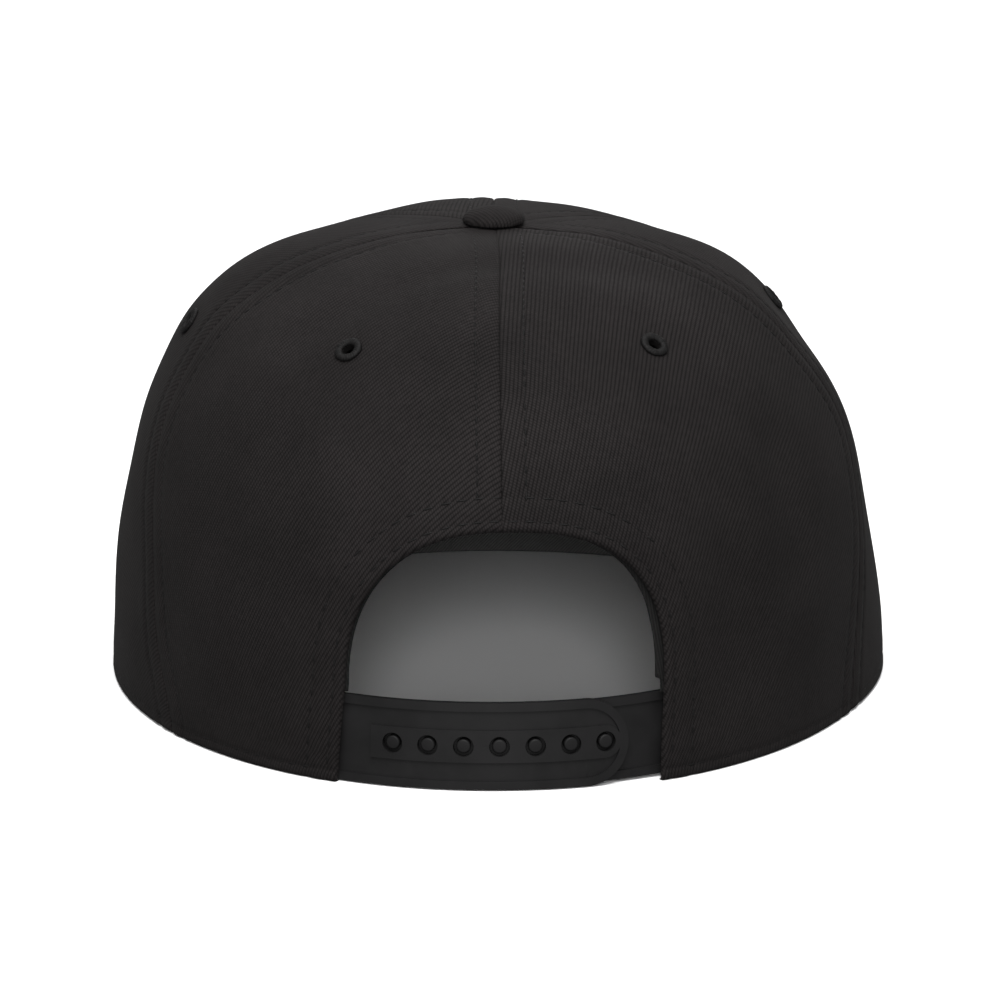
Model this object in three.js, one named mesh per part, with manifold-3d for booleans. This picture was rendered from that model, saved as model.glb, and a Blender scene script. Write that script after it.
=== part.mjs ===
// A six-panel cap with a back arch, a pegged plastic strap and a flat peak.
// Millimetres, +Z up. The peak points to -Y and the wearer's left is +X.
import * as THREE from "three";
import { mergeVertices } from "three/addons/utils/BufferGeometryUtils.js";
import Module from "manifold-3d";

const wasm = await Module();
wasm.setup();

// Crown: half sizes of the hem line, measured on the outside of the cloth
const HALF_WIDTH = 88.2;
const BACK_LENGTH = 102.3;
const FRONT_LENGTH = 94;
const OUTLINE_POWER = 2.05;
const CROWN_HEIGHT = 103.7;
const TOP_SHIFT = 0.6;
const CLOTH = 1.6;
const GAP = 0.3;

// Azimuth runs from the centre back (0) over the wearer's left (90) to the centre front (180).
// reach scales the hem line, lean draws the top in, shoulder and dome shape the side and the top.
const CROWN_ROWS = [
  { azimuth: 0, reach: 1, lean: 0.06, shoulder: 2.9, dome: 3 },
  { azimuth: 60, reach: 0.99, lean: 0.04, shoulder: 2.9, dome: 2.9 },
  { azimuth: 90, reach: 1, lean: 0.02, shoulder: 3.5, dome: 2.5 },
  { azimuth: 120, reach: 1, lean: 0.07, shoulder: 2.8, dome: 2.55 },
  { azimuth: 180, reach: 1, lean: 0.065, shoulder: 2.95, dome: 2.5 },
  { azimuth: 240, reach: 1, lean: 0.08, shoulder: 2.8, dome: 2.55 },
  { azimuth: 270, reach: 1.01, lean: 0.075, shoulder: 3.5, dome: 3.05 },
  { azimuth: 300, reach: 0.985, lean: 0.06, shoulder: 3.1, dome: 3.05 },
];

// Soft dents (negative rise) and swells between two points of the crown; height, rise and spread
// are shares of CROWN_HEIGHT
const FOLDS = [
  { azimuth: -97, height: 0.66, toAzimuth: -88, toHeight: 0.8, rise: -0.025, spread: 0.135 },
  { azimuth: -95, height: 0.95, toAzimuth: -75, toHeight: 0.97, rise: -0.01, spread: 0.155 },
  { azimuth: -105, height: 0.42, toAzimuth: -85, toHeight: 0.42, rise: -0.008, spread: 0.155 },
  { azimuth: 97, height: 0.8, toAzimuth: 85, toHeight: 0.9, rise: 0.01, spread: 0.135 },
  { azimuth: 0, height: 1, toAzimuth: 0, toHeight: 1, rise: -0.009, spread: 0.155 },
  { azimuth: 7, height: 0.98, toAzimuth: 44, toHeight: 0.86, rise: -0.008, spread: 0.06 },
  { azimuth: -14, height: 0.98, toAzimuth: -53, toHeight: 0.945, rise: -0.007, spread: 0.08 },
  { azimuth: -38, height: 0.56, toAzimuth: -38, toHeight: 0.2, rise: -0.01, spread: 0.08 },
  { azimuth: -54, height: 0.62, toAzimuth: -53, toHeight: 0.37, rise: -0.008, spread: 0.08 },
];

// Seam lines: azimuth in degrees against lift, the share of the way from the hem to the button
const SEAMS = {
  centreBack: [
    { lift: 0, azimuth: -1 },
    { lift: 0.5, azimuth: -1 },
    { lift: 0.75, azimuth: -1.5 },
    { lift: 1, azimuth: -4 },
  ],
  backLeft: [
    { lift: 0, azimuth: 55.5 },
    { lift: 0.05, azimuth: 61 },
    { lift: 0.15, azimuth: 64.5 },
    { lift: 0.3, azimuth: 71 },
    { lift: 0.5, azimuth: 73 },
    { lift: 0.7, azimuth: 70 },
    { lift: 1, azimuth: 68 },
  ],
  backRight: [
    { lift: 0, azimuth: -66 },
    { lift: 0.05, azimuth: -70.5 },
    { lift: 0.15, azimuth: -76 },
    { lift: 0.3, azimuth: -80 },
    { lift: 0.5, azimuth: -75 },
    { lift: 0.7, azimuth: -71.5 },
    { lift: 1, azimuth: -70 },
  ],
  frontLeft: [
    { lift: 0, azimuth: 112 },
    { lift: 0.5, azimuth: 117 },
    { lift: 1, azimuth: 118 },
  ],
  frontRight: [
    { lift: 0, azimuth: -112 },
    { lift: 0.5, azimuth: -117 },
    { lift: 1, azimuth: -118 },
  ],
  centreFront: [
    { lift: 0, azimuth: 180 },
    { lift: 1, azimuth: 180 },
  ],
};

const PANELS = [
  { name: "back_panel_left", from: "centreBack", to: "backLeft", columns: 11, arch: true },
  { name: "side_panel_left", from: "backLeft", to: "frontLeft", columns: 7, arch: false },
  { name: "front_panel_left", from: "frontLeft", to: "centreFront", columns: 9, arch: false },
  { name: "back_panel_right", from: "backRight", to: "centreBack", columns: 11, arch: true },
  { name: "side_panel_right", from: "frontRight", to: "backRight", columns: 7, arch: false },
  { name: "front_panel_right", from: "centreFront", to: "frontRight", columns: 9, arch: false },
];
const PANEL_ROWS = 18;

const EYELET_OUTER = 3.2;
const EYELET_HOLE = 1.45;
const EYELET_HEIGHT = 1;
const EYELET_ROUND = 0.3;
const EYELETS = [
  { name: "eyelet_back_left", panel: "back_panel_left", azimuth: 32, lift: 0.578 },
  { name: "eyelet_back_right", panel: "back_panel_right", azimuth: -35.5, lift: 0.58 },
  { name: "eyelet_side_left", panel: "side_panel_left", azimuth: 85, lift: 0.53 },
  { name: "eyelet_side_right", panel: "side_panel_right", azimuth: -92, lift: 0.55 },
  { name: "eyelet_front_left", panel: "front_panel_left", azimuth: 150, lift: 0.6 },
  { name: "eyelet_front_right", panel: "front_panel_right", azimuth: -150, lift: 0.6 },
];

// Arch opening in the back, seen square on; side is the sign of X
const ARCH_CENTRE = -1.9;
const ARCH_HALF = 35.1;
const ARCH_TOP = 56.3;
const ARCH_SHOULDER = 22;
const ARCH_LEFT_FLARE = 1.9;
const ARCH_RIGHT_FLARE = -0.7;
const ARCH_LEFT_POWER = 2.25;
const ARCH_RIGHT_POWER = 2.6;
const FACING_WIDTH = 10;
const FACING_SHOW_LEFT = 1.1;
const FACING_SHOW_RIGHT = 2.3;
const FACING_SHOW_TOP = 0.6;
const FACING_THICKNESS = 0.9;
const FACING_ABOVE_STRAP = 0.5;

const SWEATBAND_HEIGHT = 36.5;
const SWEATBAND_THICKNESS = 1.3;
const SWEATBAND_LIFT = 0.5;
const SWEATBAND_END = 38.5;
const SWEATBAND_PAST_STRAP = 4;
const SWEATBAND_RETURN = 14;

const STRAP_HEIGHT = 19.2;
const STRAP_LIFT = 0.3;
const STRAP_THICKNESS = 1.3;
const STRAP_RELIEF = 0.4;
const STRAP_RIM = 1.9;
const STRAP_HIDDEN = 44;
const HOLE_COUNT = 7;
const HOLE_PITCH = 7.85;
const HOLE_RADIUS = 2.25;
const HOLE_CENTRE = -0.7;
const HOLE_BAND = 3.6;
const HOLE_BAND_START = 5;
const STRAP_TIP = 5.3;
const PEG_RADIUS = 1.5;
const INNER_HEIGHT = 18.2;
const INNER_LIFT = 0.4;
const INNER_TILT = 0.01;

const BUTTON_RADIUS = 7;
const BUTTON_HEIGHT = 3.7;
const BUTTON_RIM = 0.5;
const SHANK_RADIUS = 2.6;
const SHANK_BELOW_CLOTH = 1;
const RING_RADIUS = SHANK_RADIUS + 2 * GAP;

const PEAK_REACH = 69;
const PEAK_FLARE = 2.5;
const PEAK_THICKNESS = 3.2;
const PEAK_POWER = 2.8;
const PEAK_CORNER_AZIMUTH = 109;
const PEAK_EDGE = 0.9;

// How far a cutting shape runs past what it cuts
const CUT = 5;

const rad = THREE.MathUtils.degToRad;

// Smooth curve through table rows; period closes it into a ring
function along(rows, at, column, value, period = 0) {
  const count = rows.length;
  const x = period ? ((value % period) + period) % period : value;
  let i = 0;
  while (i < count - 1 && rows[i + 1][at] <= x) i += 1;
  if (!period) i = Math.min(i, count - 2);
  const pick = (k) => {
    if (!period) return rows[Math.min(Math.max(k, 0), count - 1)];
    return rows[((k % count) + count) % count];
  };
  const place = (k) => pick(k)[at] + (period ? Math.floor(k / count) * period : 0);
  const x0 = place(i);
  const x1 = place(i + 1);
  const v0 = pick(i)[column];
  const v1 = pick(i + 1)[column];
  const slope = (k) => (pick(k + 1)[column] - pick(k - 1)[column]) / (place(k + 1) - place(k - 1));
  const w = x1 - x0;
  const s = Math.min(Math.max((x - x0) / w, 0), 1);
  const rise = s * s * (3 - 2 * s);
  const out = s * (s - 1) * (s - 1) * w * slope(i);
  const into = s * s * (s - 1) * w * slope(i + 1);
  return v0 * (1 - rise) + v1 * rise + out + into;
}

const crownValue = (azimuth, column) => along(CROWN_ROWS, "azimuth", column, azimuth, 360);
const seamAzimuth = (seam, lift) => along(SEAMS[seam], "lift", "azimuth", lift);

// A point of the crown before its dents; share is how far the hem's outline is kept, 1 at the hem
function plainPoint(azimuth, lift) {
  const side = Math.sin(rad(azimuth));
  const back = Math.cos(rad(azimuth));
  const reach = crownValue(azimuth, "reach");
  const length = back > 0 ? BACK_LENGTH : FRONT_LENGTH;
  const x = Math.sign(side) * Math.abs(side) ** (2 / OUTLINE_POWER) * HALF_WIDTH * reach;
  const y = Math.sign(back) * Math.abs(back) ** (2 / OUTLINE_POWER) * length * reach;
  const turn = (Math.min(Math.max(lift, 0), 1) * Math.PI) / 2;
  const height = Math.sin(turn) ** (2 / crownValue(azimuth, "dome"));
  const shoulder = Math.max(Math.cos(turn), 0) ** (2 / crownValue(azimuth, "shoulder"));
  const share = shoulder * (1 - crownValue(azimuth, "lean") * height);
  return new THREE.Vector3(x * share + TOP_SHIFT * height ** 2, y * share, CROWN_HEIGHT * height);
}

const liftAtHeight = (azimuth, height) =>
  (2 / Math.PI) * Math.asin(Math.min(Math.max(height, 0), 1) ** (crownValue(azimuth, "dome") / 2));

const foldLines = FOLDS.map((fold) => ({
  start: plainPoint(fold.azimuth, liftAtHeight(fold.azimuth, fold.height)),
  end: plainPoint(fold.toAzimuth, liftAtHeight(fold.toAzimuth, fold.toHeight)),
  rise: fold.rise * CROWN_HEIGHT,
  spread: fold.spread * CROWN_HEIGHT,
}));
const HEART = new THREE.Vector3(0, 0, 0.35 * CROWN_HEIGHT);

function outerPoint(azimuth, lift) {
  const point = plainPoint(azimuth, lift);
  let rise = 0;
  for (const fold of foldLines) {
    const near = new THREE.Line3(fold.start, fold.end).closestPointToPoint(point, true, new THREE.Vector3());
    rise += fold.rise * Math.exp(-((point.distanceTo(near) / fold.spread) ** 2));
  }
  return point.clone().addScaledVector(point.sub(HEART).normalize(), rise);
}

function outwardNormal(azimuth, lift) {
  const low = Math.max(lift - 0.004, 0);
  const high = Math.min(lift + 0.004, 0.9995);
  const up = outerPoint(azimuth, high).sub(outerPoint(azimuth, low));
  const round = outerPoint(azimuth + 0.5, lift).sub(outerPoint(azimuth - 0.5, lift));
  return new THREE.Vector3().crossVectors(up, round).normalize();
}

// A point below (positive inset) or above the crown's outer face; the hem stays in its plane
function crownPoint(azimuth, lift, inset) {
  const point = outerPoint(azimuth, lift);
  if (inset !== 0) point.addScaledVector(outwardNormal(azimuth, lift), -inset);
  if (lift <= 0) point.z = 0;
  return point;
}

// The point below the crown's outer face that lies at this height
function bandPoint(azimuth, z, inset) {
  let height = z / CROWN_HEIGHT;
  let point = crownPoint(azimuth, liftAtHeight(azimuth, height), inset);
  for (let i = 0; i < 3 && height > 0; i += 1) {
    height += (z - point.z) / CROWN_HEIGHT;
    point = crownPoint(azimuth, liftAtHeight(azimuth, height), inset);
  }
  point.z = z;
  return point;
}

// Azimuth of the point of the crown at this height with this X, within the back half
function azimuthAtX(x, z, inset) {
  let low = -89;
  let high = 89;
  for (let i = 0; i < 40; i += 1) {
    const middle = (low + high) / 2;
    if (bandPoint(middle, z, inset).x < x) low = middle;
    else high = middle;
  }
  return (low + high) / 2;
}

function bareGeometry(points, index) {
  const geometry = new THREE.BufferGeometry();
  const positions = new Float32Array(points.length * 3);
  points.forEach((p, i) => p.toArray(positions, i * 3));
  geometry.setAttribute("position", new THREE.BufferAttribute(positions, 3));
  geometry.setIndex(index);
  return geometry;
}

function toManifold(geometry) {
  const bare = new THREE.BufferGeometry();
  bare.setAttribute("position", geometry.attributes.position.clone());
  if (geometry.index) bare.setIndex(geometry.index.clone());
  const merged = mergeVertices(bare, 1e-4);
  const mesh = new wasm.Mesh({
    numProp: 3,
    vertProperties: new Float32Array(merged.attributes.position.array),
    triVerts: new Uint32Array(merged.index.array),
  });
  return new wasm.Manifold(mesh);
}

function fromManifold(solid) {
  const mesh = solid.getMesh();
  const geometry = new THREE.BufferGeometry();
  geometry.setAttribute("position", new THREE.BufferAttribute(new Float32Array(mesh.vertProperties), 3));
  geometry.setIndex(new THREE.BufferAttribute(new Uint32Array(mesh.triVerts), 1));
  return geometry;
}

// Closed solid between an outer and an inner grid of points, both given as rows of columns
function slab(outer, inner) {
  const rows = outer.length;
  const columns = outer[0].length;
  const points = [...outer.flat(), ...inner.flat()];
  const out = (r, c) => r * columns + c;
  const into = (r, c) => rows * columns + r * columns + c;
  const index = [];
  const quad = (a, b, c, d) => index.push(a, b, c, a, c, d);
  for (let r = 0; r < rows - 1; r += 1) {
    for (let c = 0; c < columns - 1; c += 1) {
      quad(out(r, c), out(r, c + 1), out(r + 1, c + 1), out(r + 1, c));
      quad(into(r, c), into(r + 1, c), into(r + 1, c + 1), into(r, c + 1));
    }
    quad(out(r, 0), out(r + 1, 0), into(r + 1, 0), into(r, 0));
    quad(out(r, columns - 1), into(r, columns - 1), into(r + 1, columns - 1), out(r + 1, columns - 1));
  }
  for (let c = 0; c < columns - 1; c += 1) {
    quad(out(0, c), into(0, c), into(0, c + 1), out(0, c + 1));
    quad(out(rows - 1, c), out(rows - 1, c + 1), into(rows - 1, c + 1), into(rows - 1, c));
  }
  const solid = toManifold(bareGeometry(points, index));
  if (solid.volume() > 0) return solid;
  const turned = [];
  for (let i = 0; i < index.length; i += 3) turned.push(index[i], index[i + 2], index[i + 1]);
  return toManifold(bareGeometry(points, turned));
}

// Straight prism from an outline of [x, z] points, right through the back of the crown
function prismThroughBack(outline, spare = 0) {
  const from = 0.1 * BACK_LENGTH - spare;
  const to = 1.2 * BACK_LENGTH + spare;
  const shape = new THREE.Shape(outline.map(([x, z]) => new THREE.Vector2(x, z)));
  const geometry = new THREE.ExtrudeGeometry(shape, { depth: to - from, bevelEnabled: false });
  geometry.rotateX(Math.PI / 2);
  geometry.translate(0, to, 0);
  return toManifold(geometry);
}

// Cylinder through a point of the crown, along its normal
function plug(azimuth, lift, radius) {
  const geometry = new THREE.CylinderGeometry(radius, radius, 2 * CUT, 12);
  return toManifold(stand(geometry, azimuth, lift));
}

// Moves a shape made round +Y at the origin onto a point of the crown
function stand(geometry, azimuth, lift) {
  const normal = outwardNormal(azimuth, lift);
  geometry.applyQuaternion(new THREE.Quaternion().setFromUnitVectors(new THREE.Vector3(0, 1, 0), normal));
  const point = outerPoint(azimuth, lift);
  geometry.translate(point.x, point.y, point.z);
  return geometry;
}

// Outline of the arch, grown outwards by a distance on each side, from left to right, open below
function archOutline(growLeft, growTop, growRight, below) {
  const points = [];
  const steps = 9;
  const bottom = -below;
  const top = ARCH_TOP + growTop;
  for (const side of [1, -1]) {
    const grow = side > 0 ? growLeft : growRight;
    const power = side > 0 ? ARCH_LEFT_POWER : ARCH_RIGHT_POWER;
    const half = ARCH_HALF + grow;
    const spread = side > 0 ? ARCH_LEFT_FLARE : ARCH_RIGHT_FLARE;
    const flare = (spread * (ARCH_SHOULDER - bottom)) / ARCH_SHOULDER;
    const part = [[ARCH_CENTRE + side * (half + flare), bottom]];
    for (let i = 0; i < steps + (side > 0 ? 1 : 0); i += 1) {
      const turn = (i / steps) * (Math.PI / 2);
      const x = ARCH_CENTRE + side * half * Math.cos(turn) ** (2 / power);
      part.push([x, ARCH_SHOULDER + (top - ARCH_SHOULDER) * Math.sin(turn) ** (2 / power)]);
    }
    if (side < 0) part.reverse();
    points.push(...part);
  }
  return points;
}

const archCutter = () => prismThroughBack(archOutline(0, 0, 0, CUT));

// Share of the lift at which the panels stop, so that they leave a round hole under the button
function topLift(azimuth) {
  const hem = plainPoint(azimuth, 0);
  const radius = Math.hypot(hem.x, hem.y) * (1 - crownValue(azimuth, "lean"));
  return 1 - (2 / Math.PI) * (RING_RADIUS / radius) ** (crownValue(azimuth, "shoulder") / 2);
}

function crownPanel(panel) {
  const outer = [];
  const inner = [];
  for (let r = 0; r <= PANEL_ROWS; r += 1) {
    const rise = (r / PANEL_ROWS) ** 1.5;
    const from = seamAzimuth(panel.from, rise);
    const to = seamAzimuth(panel.to, rise) + (panel.from === "centreFront" ? 360 : 0);
    const rowOut = [];
    const rowIn = [];
    for (let c = 0; c <= panel.columns; c += 1) {
      const rough = from + ((to - from) * c) / panel.columns;
      const lift = rise * topLift(rough);
      const middle = plainPoint(rough, lift);
      const trim = THREE.MathUtils.radToDeg(GAP / 2 / Math.hypot(middle.x - TOP_SHIFT, middle.y));
      const share = 1 - (2 * c) / panel.columns;
      const azimuth = rough + trim * share;
      rowOut.push(crownPoint(azimuth, lift, 0));
      rowIn.push(crownPoint(azimuth, lift, CLOTH));
    }
    outer.push(rowOut);
    inner.push(rowIn);
  }
  let solid = slab(outer, inner);
  if (panel.arch) solid = solid.subtract(archCutter());
  for (const eyelet of EYELETS.filter((e) => e.panel === panel.name)) {
    solid = solid.subtract(plug(eyelet.azimuth, eyelet.lift, EYELET_HOLE + 2 * GAP));
  }
  return fromManifold(solid);
}

// Curved strip under the crown between two azimuths and two heights
function strip(from, to, low, high, outset, inset, columns, rows) {
  const depth = typeof outset === "function" ? outset : () => outset;
  const outer = [];
  const inner = [];
  for (let r = 0; r <= rows; r += 1) {
    const z = low + ((high - low) * r) / rows;
    const rowOut = [];
    const rowIn = [];
    for (let c = 0; c <= columns; c += 1) {
      const azimuth = from + ((to - from) * c) / columns;
      rowOut.push(bandPoint(azimuth, z, depth(azimuth)));
      rowIn.push(bandPoint(azimuth, z, depth(azimuth) + inset));
    }
    outer.push(rowOut);
    inner.push(rowIn);
  }
  return slab(outer, inner);
}

const UNDER_CLOTH = CLOTH + GAP;
const UNDER_STRAPS = UNDER_CLOTH + 2 * (STRAP_THICKNESS + GAP);
const INNER_TOP = INNER_LIFT + INNER_HEIGHT + INNER_TILT * STRAP_HIDDEN;
const STRAP_TOP = Math.max(STRAP_LIFT + STRAP_HEIGHT, INNER_TOP);
const MID_STRAP = STRAP_LIFT + STRAP_HEIGHT / 2;

function archFacing() {
  const low = STRAP_TOP + FACING_ABOVE_STRAP;
  const high = ARCH_TOP + FACING_WIDTH + CUT;
  const halfSpan = ARCH_HALF + ARCH_LEFT_FLARE + Math.abs(ARCH_CENTRE) + FACING_WIDTH;
  const wide = azimuthAtX(halfSpan, low, UNDER_CLOTH) + CUT;
  const sheet = strip(-wide, wide, low, high, UNDER_CLOTH, FACING_THICKNESS, 14, 8);
  const around = archOutline(FACING_WIDTH, FACING_WIDTH, FACING_WIDTH, CUT);
  const within = archOutline(-FACING_SHOW_LEFT, -FACING_SHOW_TOP, -FACING_SHOW_RIGHT, 2 * CUT);
  return fromManifold(sheet.intersect(prismThroughBack(around)).subtract(prismThroughBack(within, CUT)));
}

// The band lies under the straps' ends beside the arch and comes out to the cloth in front of them
function sweatband() {
  const start = azimuthAtX(ARCH_CENTRE + SWEATBAND_END, MID_STRAP, UNDER_STRAPS);
  const end = azimuthAtX(ARCH_CENTRE - SWEATBAND_END, MID_STRAP, UNDER_STRAPS) + 360;
  const strapEnd = azimuthAtX(STRAP_HIDDEN, MID_STRAP, UNDER_CLOTH) + SWEATBAND_PAST_STRAP;
  const depth = (azimuth) => {
    const aside = Math.min(azimuth, 360 - azimuth);
    const away = THREE.MathUtils.smoothstep(aside, strapEnd, strapEnd + SWEATBAND_RETURN);
    return THREE.MathUtils.lerp(UNDER_STRAPS, UNDER_CLOTH, away);
  };
  const low = SWEATBAND_LIFT;
  return fromManifold(strip(start, end, low, low + SWEATBAND_HEIGHT, depth, SWEATBAND_THICKNESS, 44, 3));
}

// X of the point this far along the strap's path from X = 0
function strapX(length, inset) {
  const steps = 24;
  const end = azimuthAtX(Math.sign(length) * (STRAP_HIDDEN + CUT), MID_STRAP, inset) * 1.2;
  const start = azimuthAtX(0, MID_STRAP, inset);
  let before = bandPoint(start, MID_STRAP, inset);
  let travelled = 0;
  for (let i = 1; i <= steps; i += 1) {
    const point = bandPoint(start + ((end - start) * i) / steps, MID_STRAP, inset);
    const step = point.distanceTo(before);
    if (travelled + step >= Math.abs(length)) {
      return THREE.MathUtils.lerp(before.x, point.x, (Math.abs(length) - travelled) / step);
    }
    travelled += step;
    before = point;
  }
  return before.x;
}

// Outline of a strap: square at the fixed end, round at the free end, shrunk by a margin
function strapOutline(fixed, free, low, height, tilt, margin, inset) {
  const way = Math.sign(free - fixed);
  const radius = height / 2 - margin;
  const middle = low + height / 2;
  const points = [];
  const at = (length, z) => [strapX(length, inset), z + tilt * Math.max(0, -length)];
  points.push(at(fixed, middle + radius));
  points.push(at(fixed, middle - radius));
  const steps = 8;
  for (let i = 0; i <= steps; i += 1) {
    const turn = (i / steps) * Math.PI;
    const length = free - way * (height / 2) + way * radius * Math.sin(turn);
    points.push(at(length, middle - radius * Math.cos(turn)));
  }
  if (way > 0) points.reverse();
  return points;
}

function strapPlate(fixed, free, low, height, tilt, inset) {
  const reach = azimuthAtX(STRAP_HIDDEN + CUT, MID_STRAP, inset);
  const layer = (under, thick) => strip(-reach, reach, -1, STRAP_TOP + CUT, inset + under, thick, 14, 2);
  const outerFace = layer(0, STRAP_RELIEF + 0.1);
  const whole = prismThroughBack(strapOutline(fixed, free, low, height, tilt, 0, inset));
  const way = Math.sign(free - fixed);
  const inside = strapOutline(fixed - way * CUT, free, low, height, tilt, STRAP_RIM, inset);
  const rim = whole.subtract(prismThroughBack(inside, CUT));
  return { plate: layer(STRAP_RELIEF, STRAP_THICKNESS - STRAP_RELIEF).intersect(whole), outerFace, rim };
}

const holeLengths = Array.from(
  { length: HOLE_COUNT },
  (_, i) => HOLE_CENTRE + (i - (HOLE_COUNT - 1) / 2) * HOLE_PITCH,
);

// Round bar across the strap, level and square to it
function crossBar(length, radius, inset, below, above, segments) {
  const azimuth = azimuthAtX(strapX(length, inset), MID_STRAP, inset);
  const normal = outwardNormal(azimuth, liftAtHeight(azimuth, MID_STRAP / CROWN_HEIGHT)).setZ(0).normalize();
  const geometry = new THREE.CylinderGeometry(radius, radius, below + above, segments);
  geometry.translate(0, (above - below) / 2, 0);
  geometry.applyQuaternion(new THREE.Quaternion().setFromUnitVectors(new THREE.Vector3(0, 1, 0), normal));
  const point = bandPoint(azimuth, MID_STRAP, inset);
  geometry.translate(point.x, point.y, point.z);
  return toManifold(geometry);
}

const FIRST_HOLE = HOLE_CENTRE + ((HOLE_COUNT - 1) / 2) * HOLE_PITCH;
const LAST_HOLE = HOLE_CENTRE - ((HOLE_COUNT - 1) / 2) * HOLE_PITCH;

function strapWithHoles() {
  const inset = UNDER_CLOTH;
  const free = LAST_HOLE - STRAP_TIP;
  const { plate, outerFace, rim } = strapPlate(STRAP_HIDDEN, free, STRAP_LIFT, STRAP_HEIGHT, 0, inset);
  const low = MID_STRAP - HOLE_BAND;
  const ends = [FIRST_HOLE + HOLE_BAND_START, LAST_HOLE - HOLE_BAND];
  const band = prismThroughBack(strapOutline(...ends, low, 2 * HOLE_BAND, 0, 0, inset));
  let solid = plate.add(outerFace.intersect(rim.add(band)));
  for (const length of holeLengths) {
    solid = solid.subtract(crossBar(length, HOLE_RADIUS, inset, CUT, CUT, 12));
  }
  return fromManifold(solid);
}

function strapWithPegs() {
  const inset = UNDER_CLOTH + STRAP_THICKNESS + GAP;
  const free = FIRST_HOLE + STRAP_TIP + 1;
  const parts = strapPlate(-STRAP_HIDDEN, free, INNER_LIFT, INNER_HEIGHT, INNER_TILT, inset);
  let solid = parts.plate.add(parts.outerFace.intersect(parts.rim));
  const rise = STRAP_THICKNESS + GAP - 0.1;
  for (const length of holeLengths) {
    solid = solid.add(crossBar(length, PEG_RADIUS, inset, 2 * STRAP_RELIEF, rise, 10));
  }
  return fromManifold(solid);
}

function eyelet(row) {
  const bore = EYELET_HOLE;
  const neck = EYELET_HOLE + GAP;
  const profile = [
    [bore, -CLOTH],
    [neck, -CLOTH],
    [neck, GAP],
    [EYELET_OUTER - EYELET_ROUND, GAP],
    [EYELET_OUTER, GAP + EYELET_ROUND],
    [EYELET_OUTER - 1.5 * EYELET_ROUND, EYELET_HEIGHT],
    [bore + 1.5 * EYELET_ROUND, EYELET_HEIGHT],
    [bore, EYELET_HEIGHT - EYELET_ROUND],
    [bore, -CLOTH],
  ].map(([r, y]) => new THREE.Vector2(r, y));
  return stand(new THREE.LatheGeometry(profile, 12), row.azimuth, row.lift);
}

function button() {
  const seat = outerPoint(0, topLift(0)).z + GAP;
  const foot = -GAP - CLOTH - SHANK_BELOW_CLOTH;
  const profile = [[0, foot], [SHANK_RADIUS, foot], [SHANK_RADIUS, 0], [BUTTON_RADIUS - BUTTON_RIM, 0]];
  const steps = 5;
  for (let i = 0; i < steps; i += 1) {
    const turn = (i / steps) * (Math.PI / 2);
    const height = BUTTON_RIM + (BUTTON_HEIGHT - BUTTON_RIM) * Math.sin(turn);
    profile.push([BUTTON_RADIUS * Math.cos(turn), height]);
  }
  profile.push([0, BUTTON_HEIGHT]);
  const geometry = new THREE.LatheGeometry(profile.map(([r, y]) => new THREE.Vector2(r, y)), 20);
  geometry.rotateX(Math.PI / 2);
  geometry.translate(TOP_SHIFT, 0, seat);
  return geometry;
}

function peak() {
  const corners = [PEAK_CORNER_AZIMUTH, 360 - PEAK_CORNER_AZIMUTH];
  const [left, right] = corners.map((azimuth) => crownPoint(azimuth, 0, -GAP));
  const outline = [];
  const steps = 24;
  for (let i = 0; i <= steps; i += 1) {
    const turn = Math.PI / 2 - (i / steps) * Math.PI;
    const corner = i <= steps / 2 ? left : right;
    const across = Math.abs(Math.sin(turn)) ** (2 / PEAK_POWER);
    const ahead = Math.abs(Math.cos(turn)) ** (2 / PEAK_POWER);
    const half = corner.x + Math.sign(corner.x) * PEAK_FLARE;
    const depth = PEAK_REACH + FRONT_LENGTH + corner.y;
    outline.push(new THREE.Vector2(across * half, corner.y - ahead * depth));
  }
  const crownSteps = 22;
  for (let i = 0; i <= crownSteps; i += 1) {
    const azimuth = THREE.MathUtils.lerp(corners[1], corners[0], i / crownSteps);
    const point = crownPoint(azimuth, 0, -GAP);
    outline.push(new THREE.Vector2(point.x, point.y));
  }
  const geometry = new THREE.ExtrudeGeometry(new THREE.Shape(outline), {
    depth: PEAK_THICKNESS - 2 * PEAK_EDGE,
    bevelEnabled: true,
    bevelThickness: PEAK_EDGE,
    bevelSize: PEAK_EDGE,
    bevelOffset: -PEAK_EDGE,
    bevelSegments: 1,
  });
  geometry.translate(0, 0, PEAK_EDGE);
  return geometry;
}

const MATERIALS = {
  twill: { color: 0x1f1f1e, roughness: 0.9 },
  sweatband: { color: 0x1a1a1a, roughness: 0.95 },
  thread: { color: 0x232322, roughness: 0.8 },
  strap: { color: 0x1c1c1e, roughness: 0.45 },
};

const group = new THREE.Group();

function addPiece(name, geometry, look) {
  const bare = new THREE.BufferGeometry();
  bare.setAttribute("position", geometry.attributes.position);
  if (geometry.index) bare.setIndex(geometry.index);
  const piece = mergeVertices(bare, 1e-4);
  piece.computeVertexNormals();
  const mesh = new THREE.Mesh(piece, new THREE.MeshStandardMaterial(MATERIALS[look]));
  mesh.name = name;
  group.add(mesh);
}

for (const panel of PANELS) addPiece(panel.name, crownPanel(panel), "twill");
addPiece("arch_facing", archFacing(), "twill");
addPiece("peak", peak(), "twill");
addPiece("sweatband", sweatband(), "sweatband");
addPiece("strap_with_holes", strapWithHoles(), "strap");
addPiece("strap_with_pegs", strapWithPegs(), "strap");
for (const row of EYELETS) addPiece(row.name, eyelet(row), "thread");
addPiece("button", button(), "twill");

// The origin is put at the middle of the footprint, on the surface that the cap rests on
const box = new THREE.Box3().setFromObject(group);
const middle = box.getCenter(new THREE.Vector3());
for (const mesh of group.children) mesh.geometry.translate(-middle.x, -middle.y, -box.min.z);

export default group;
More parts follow.
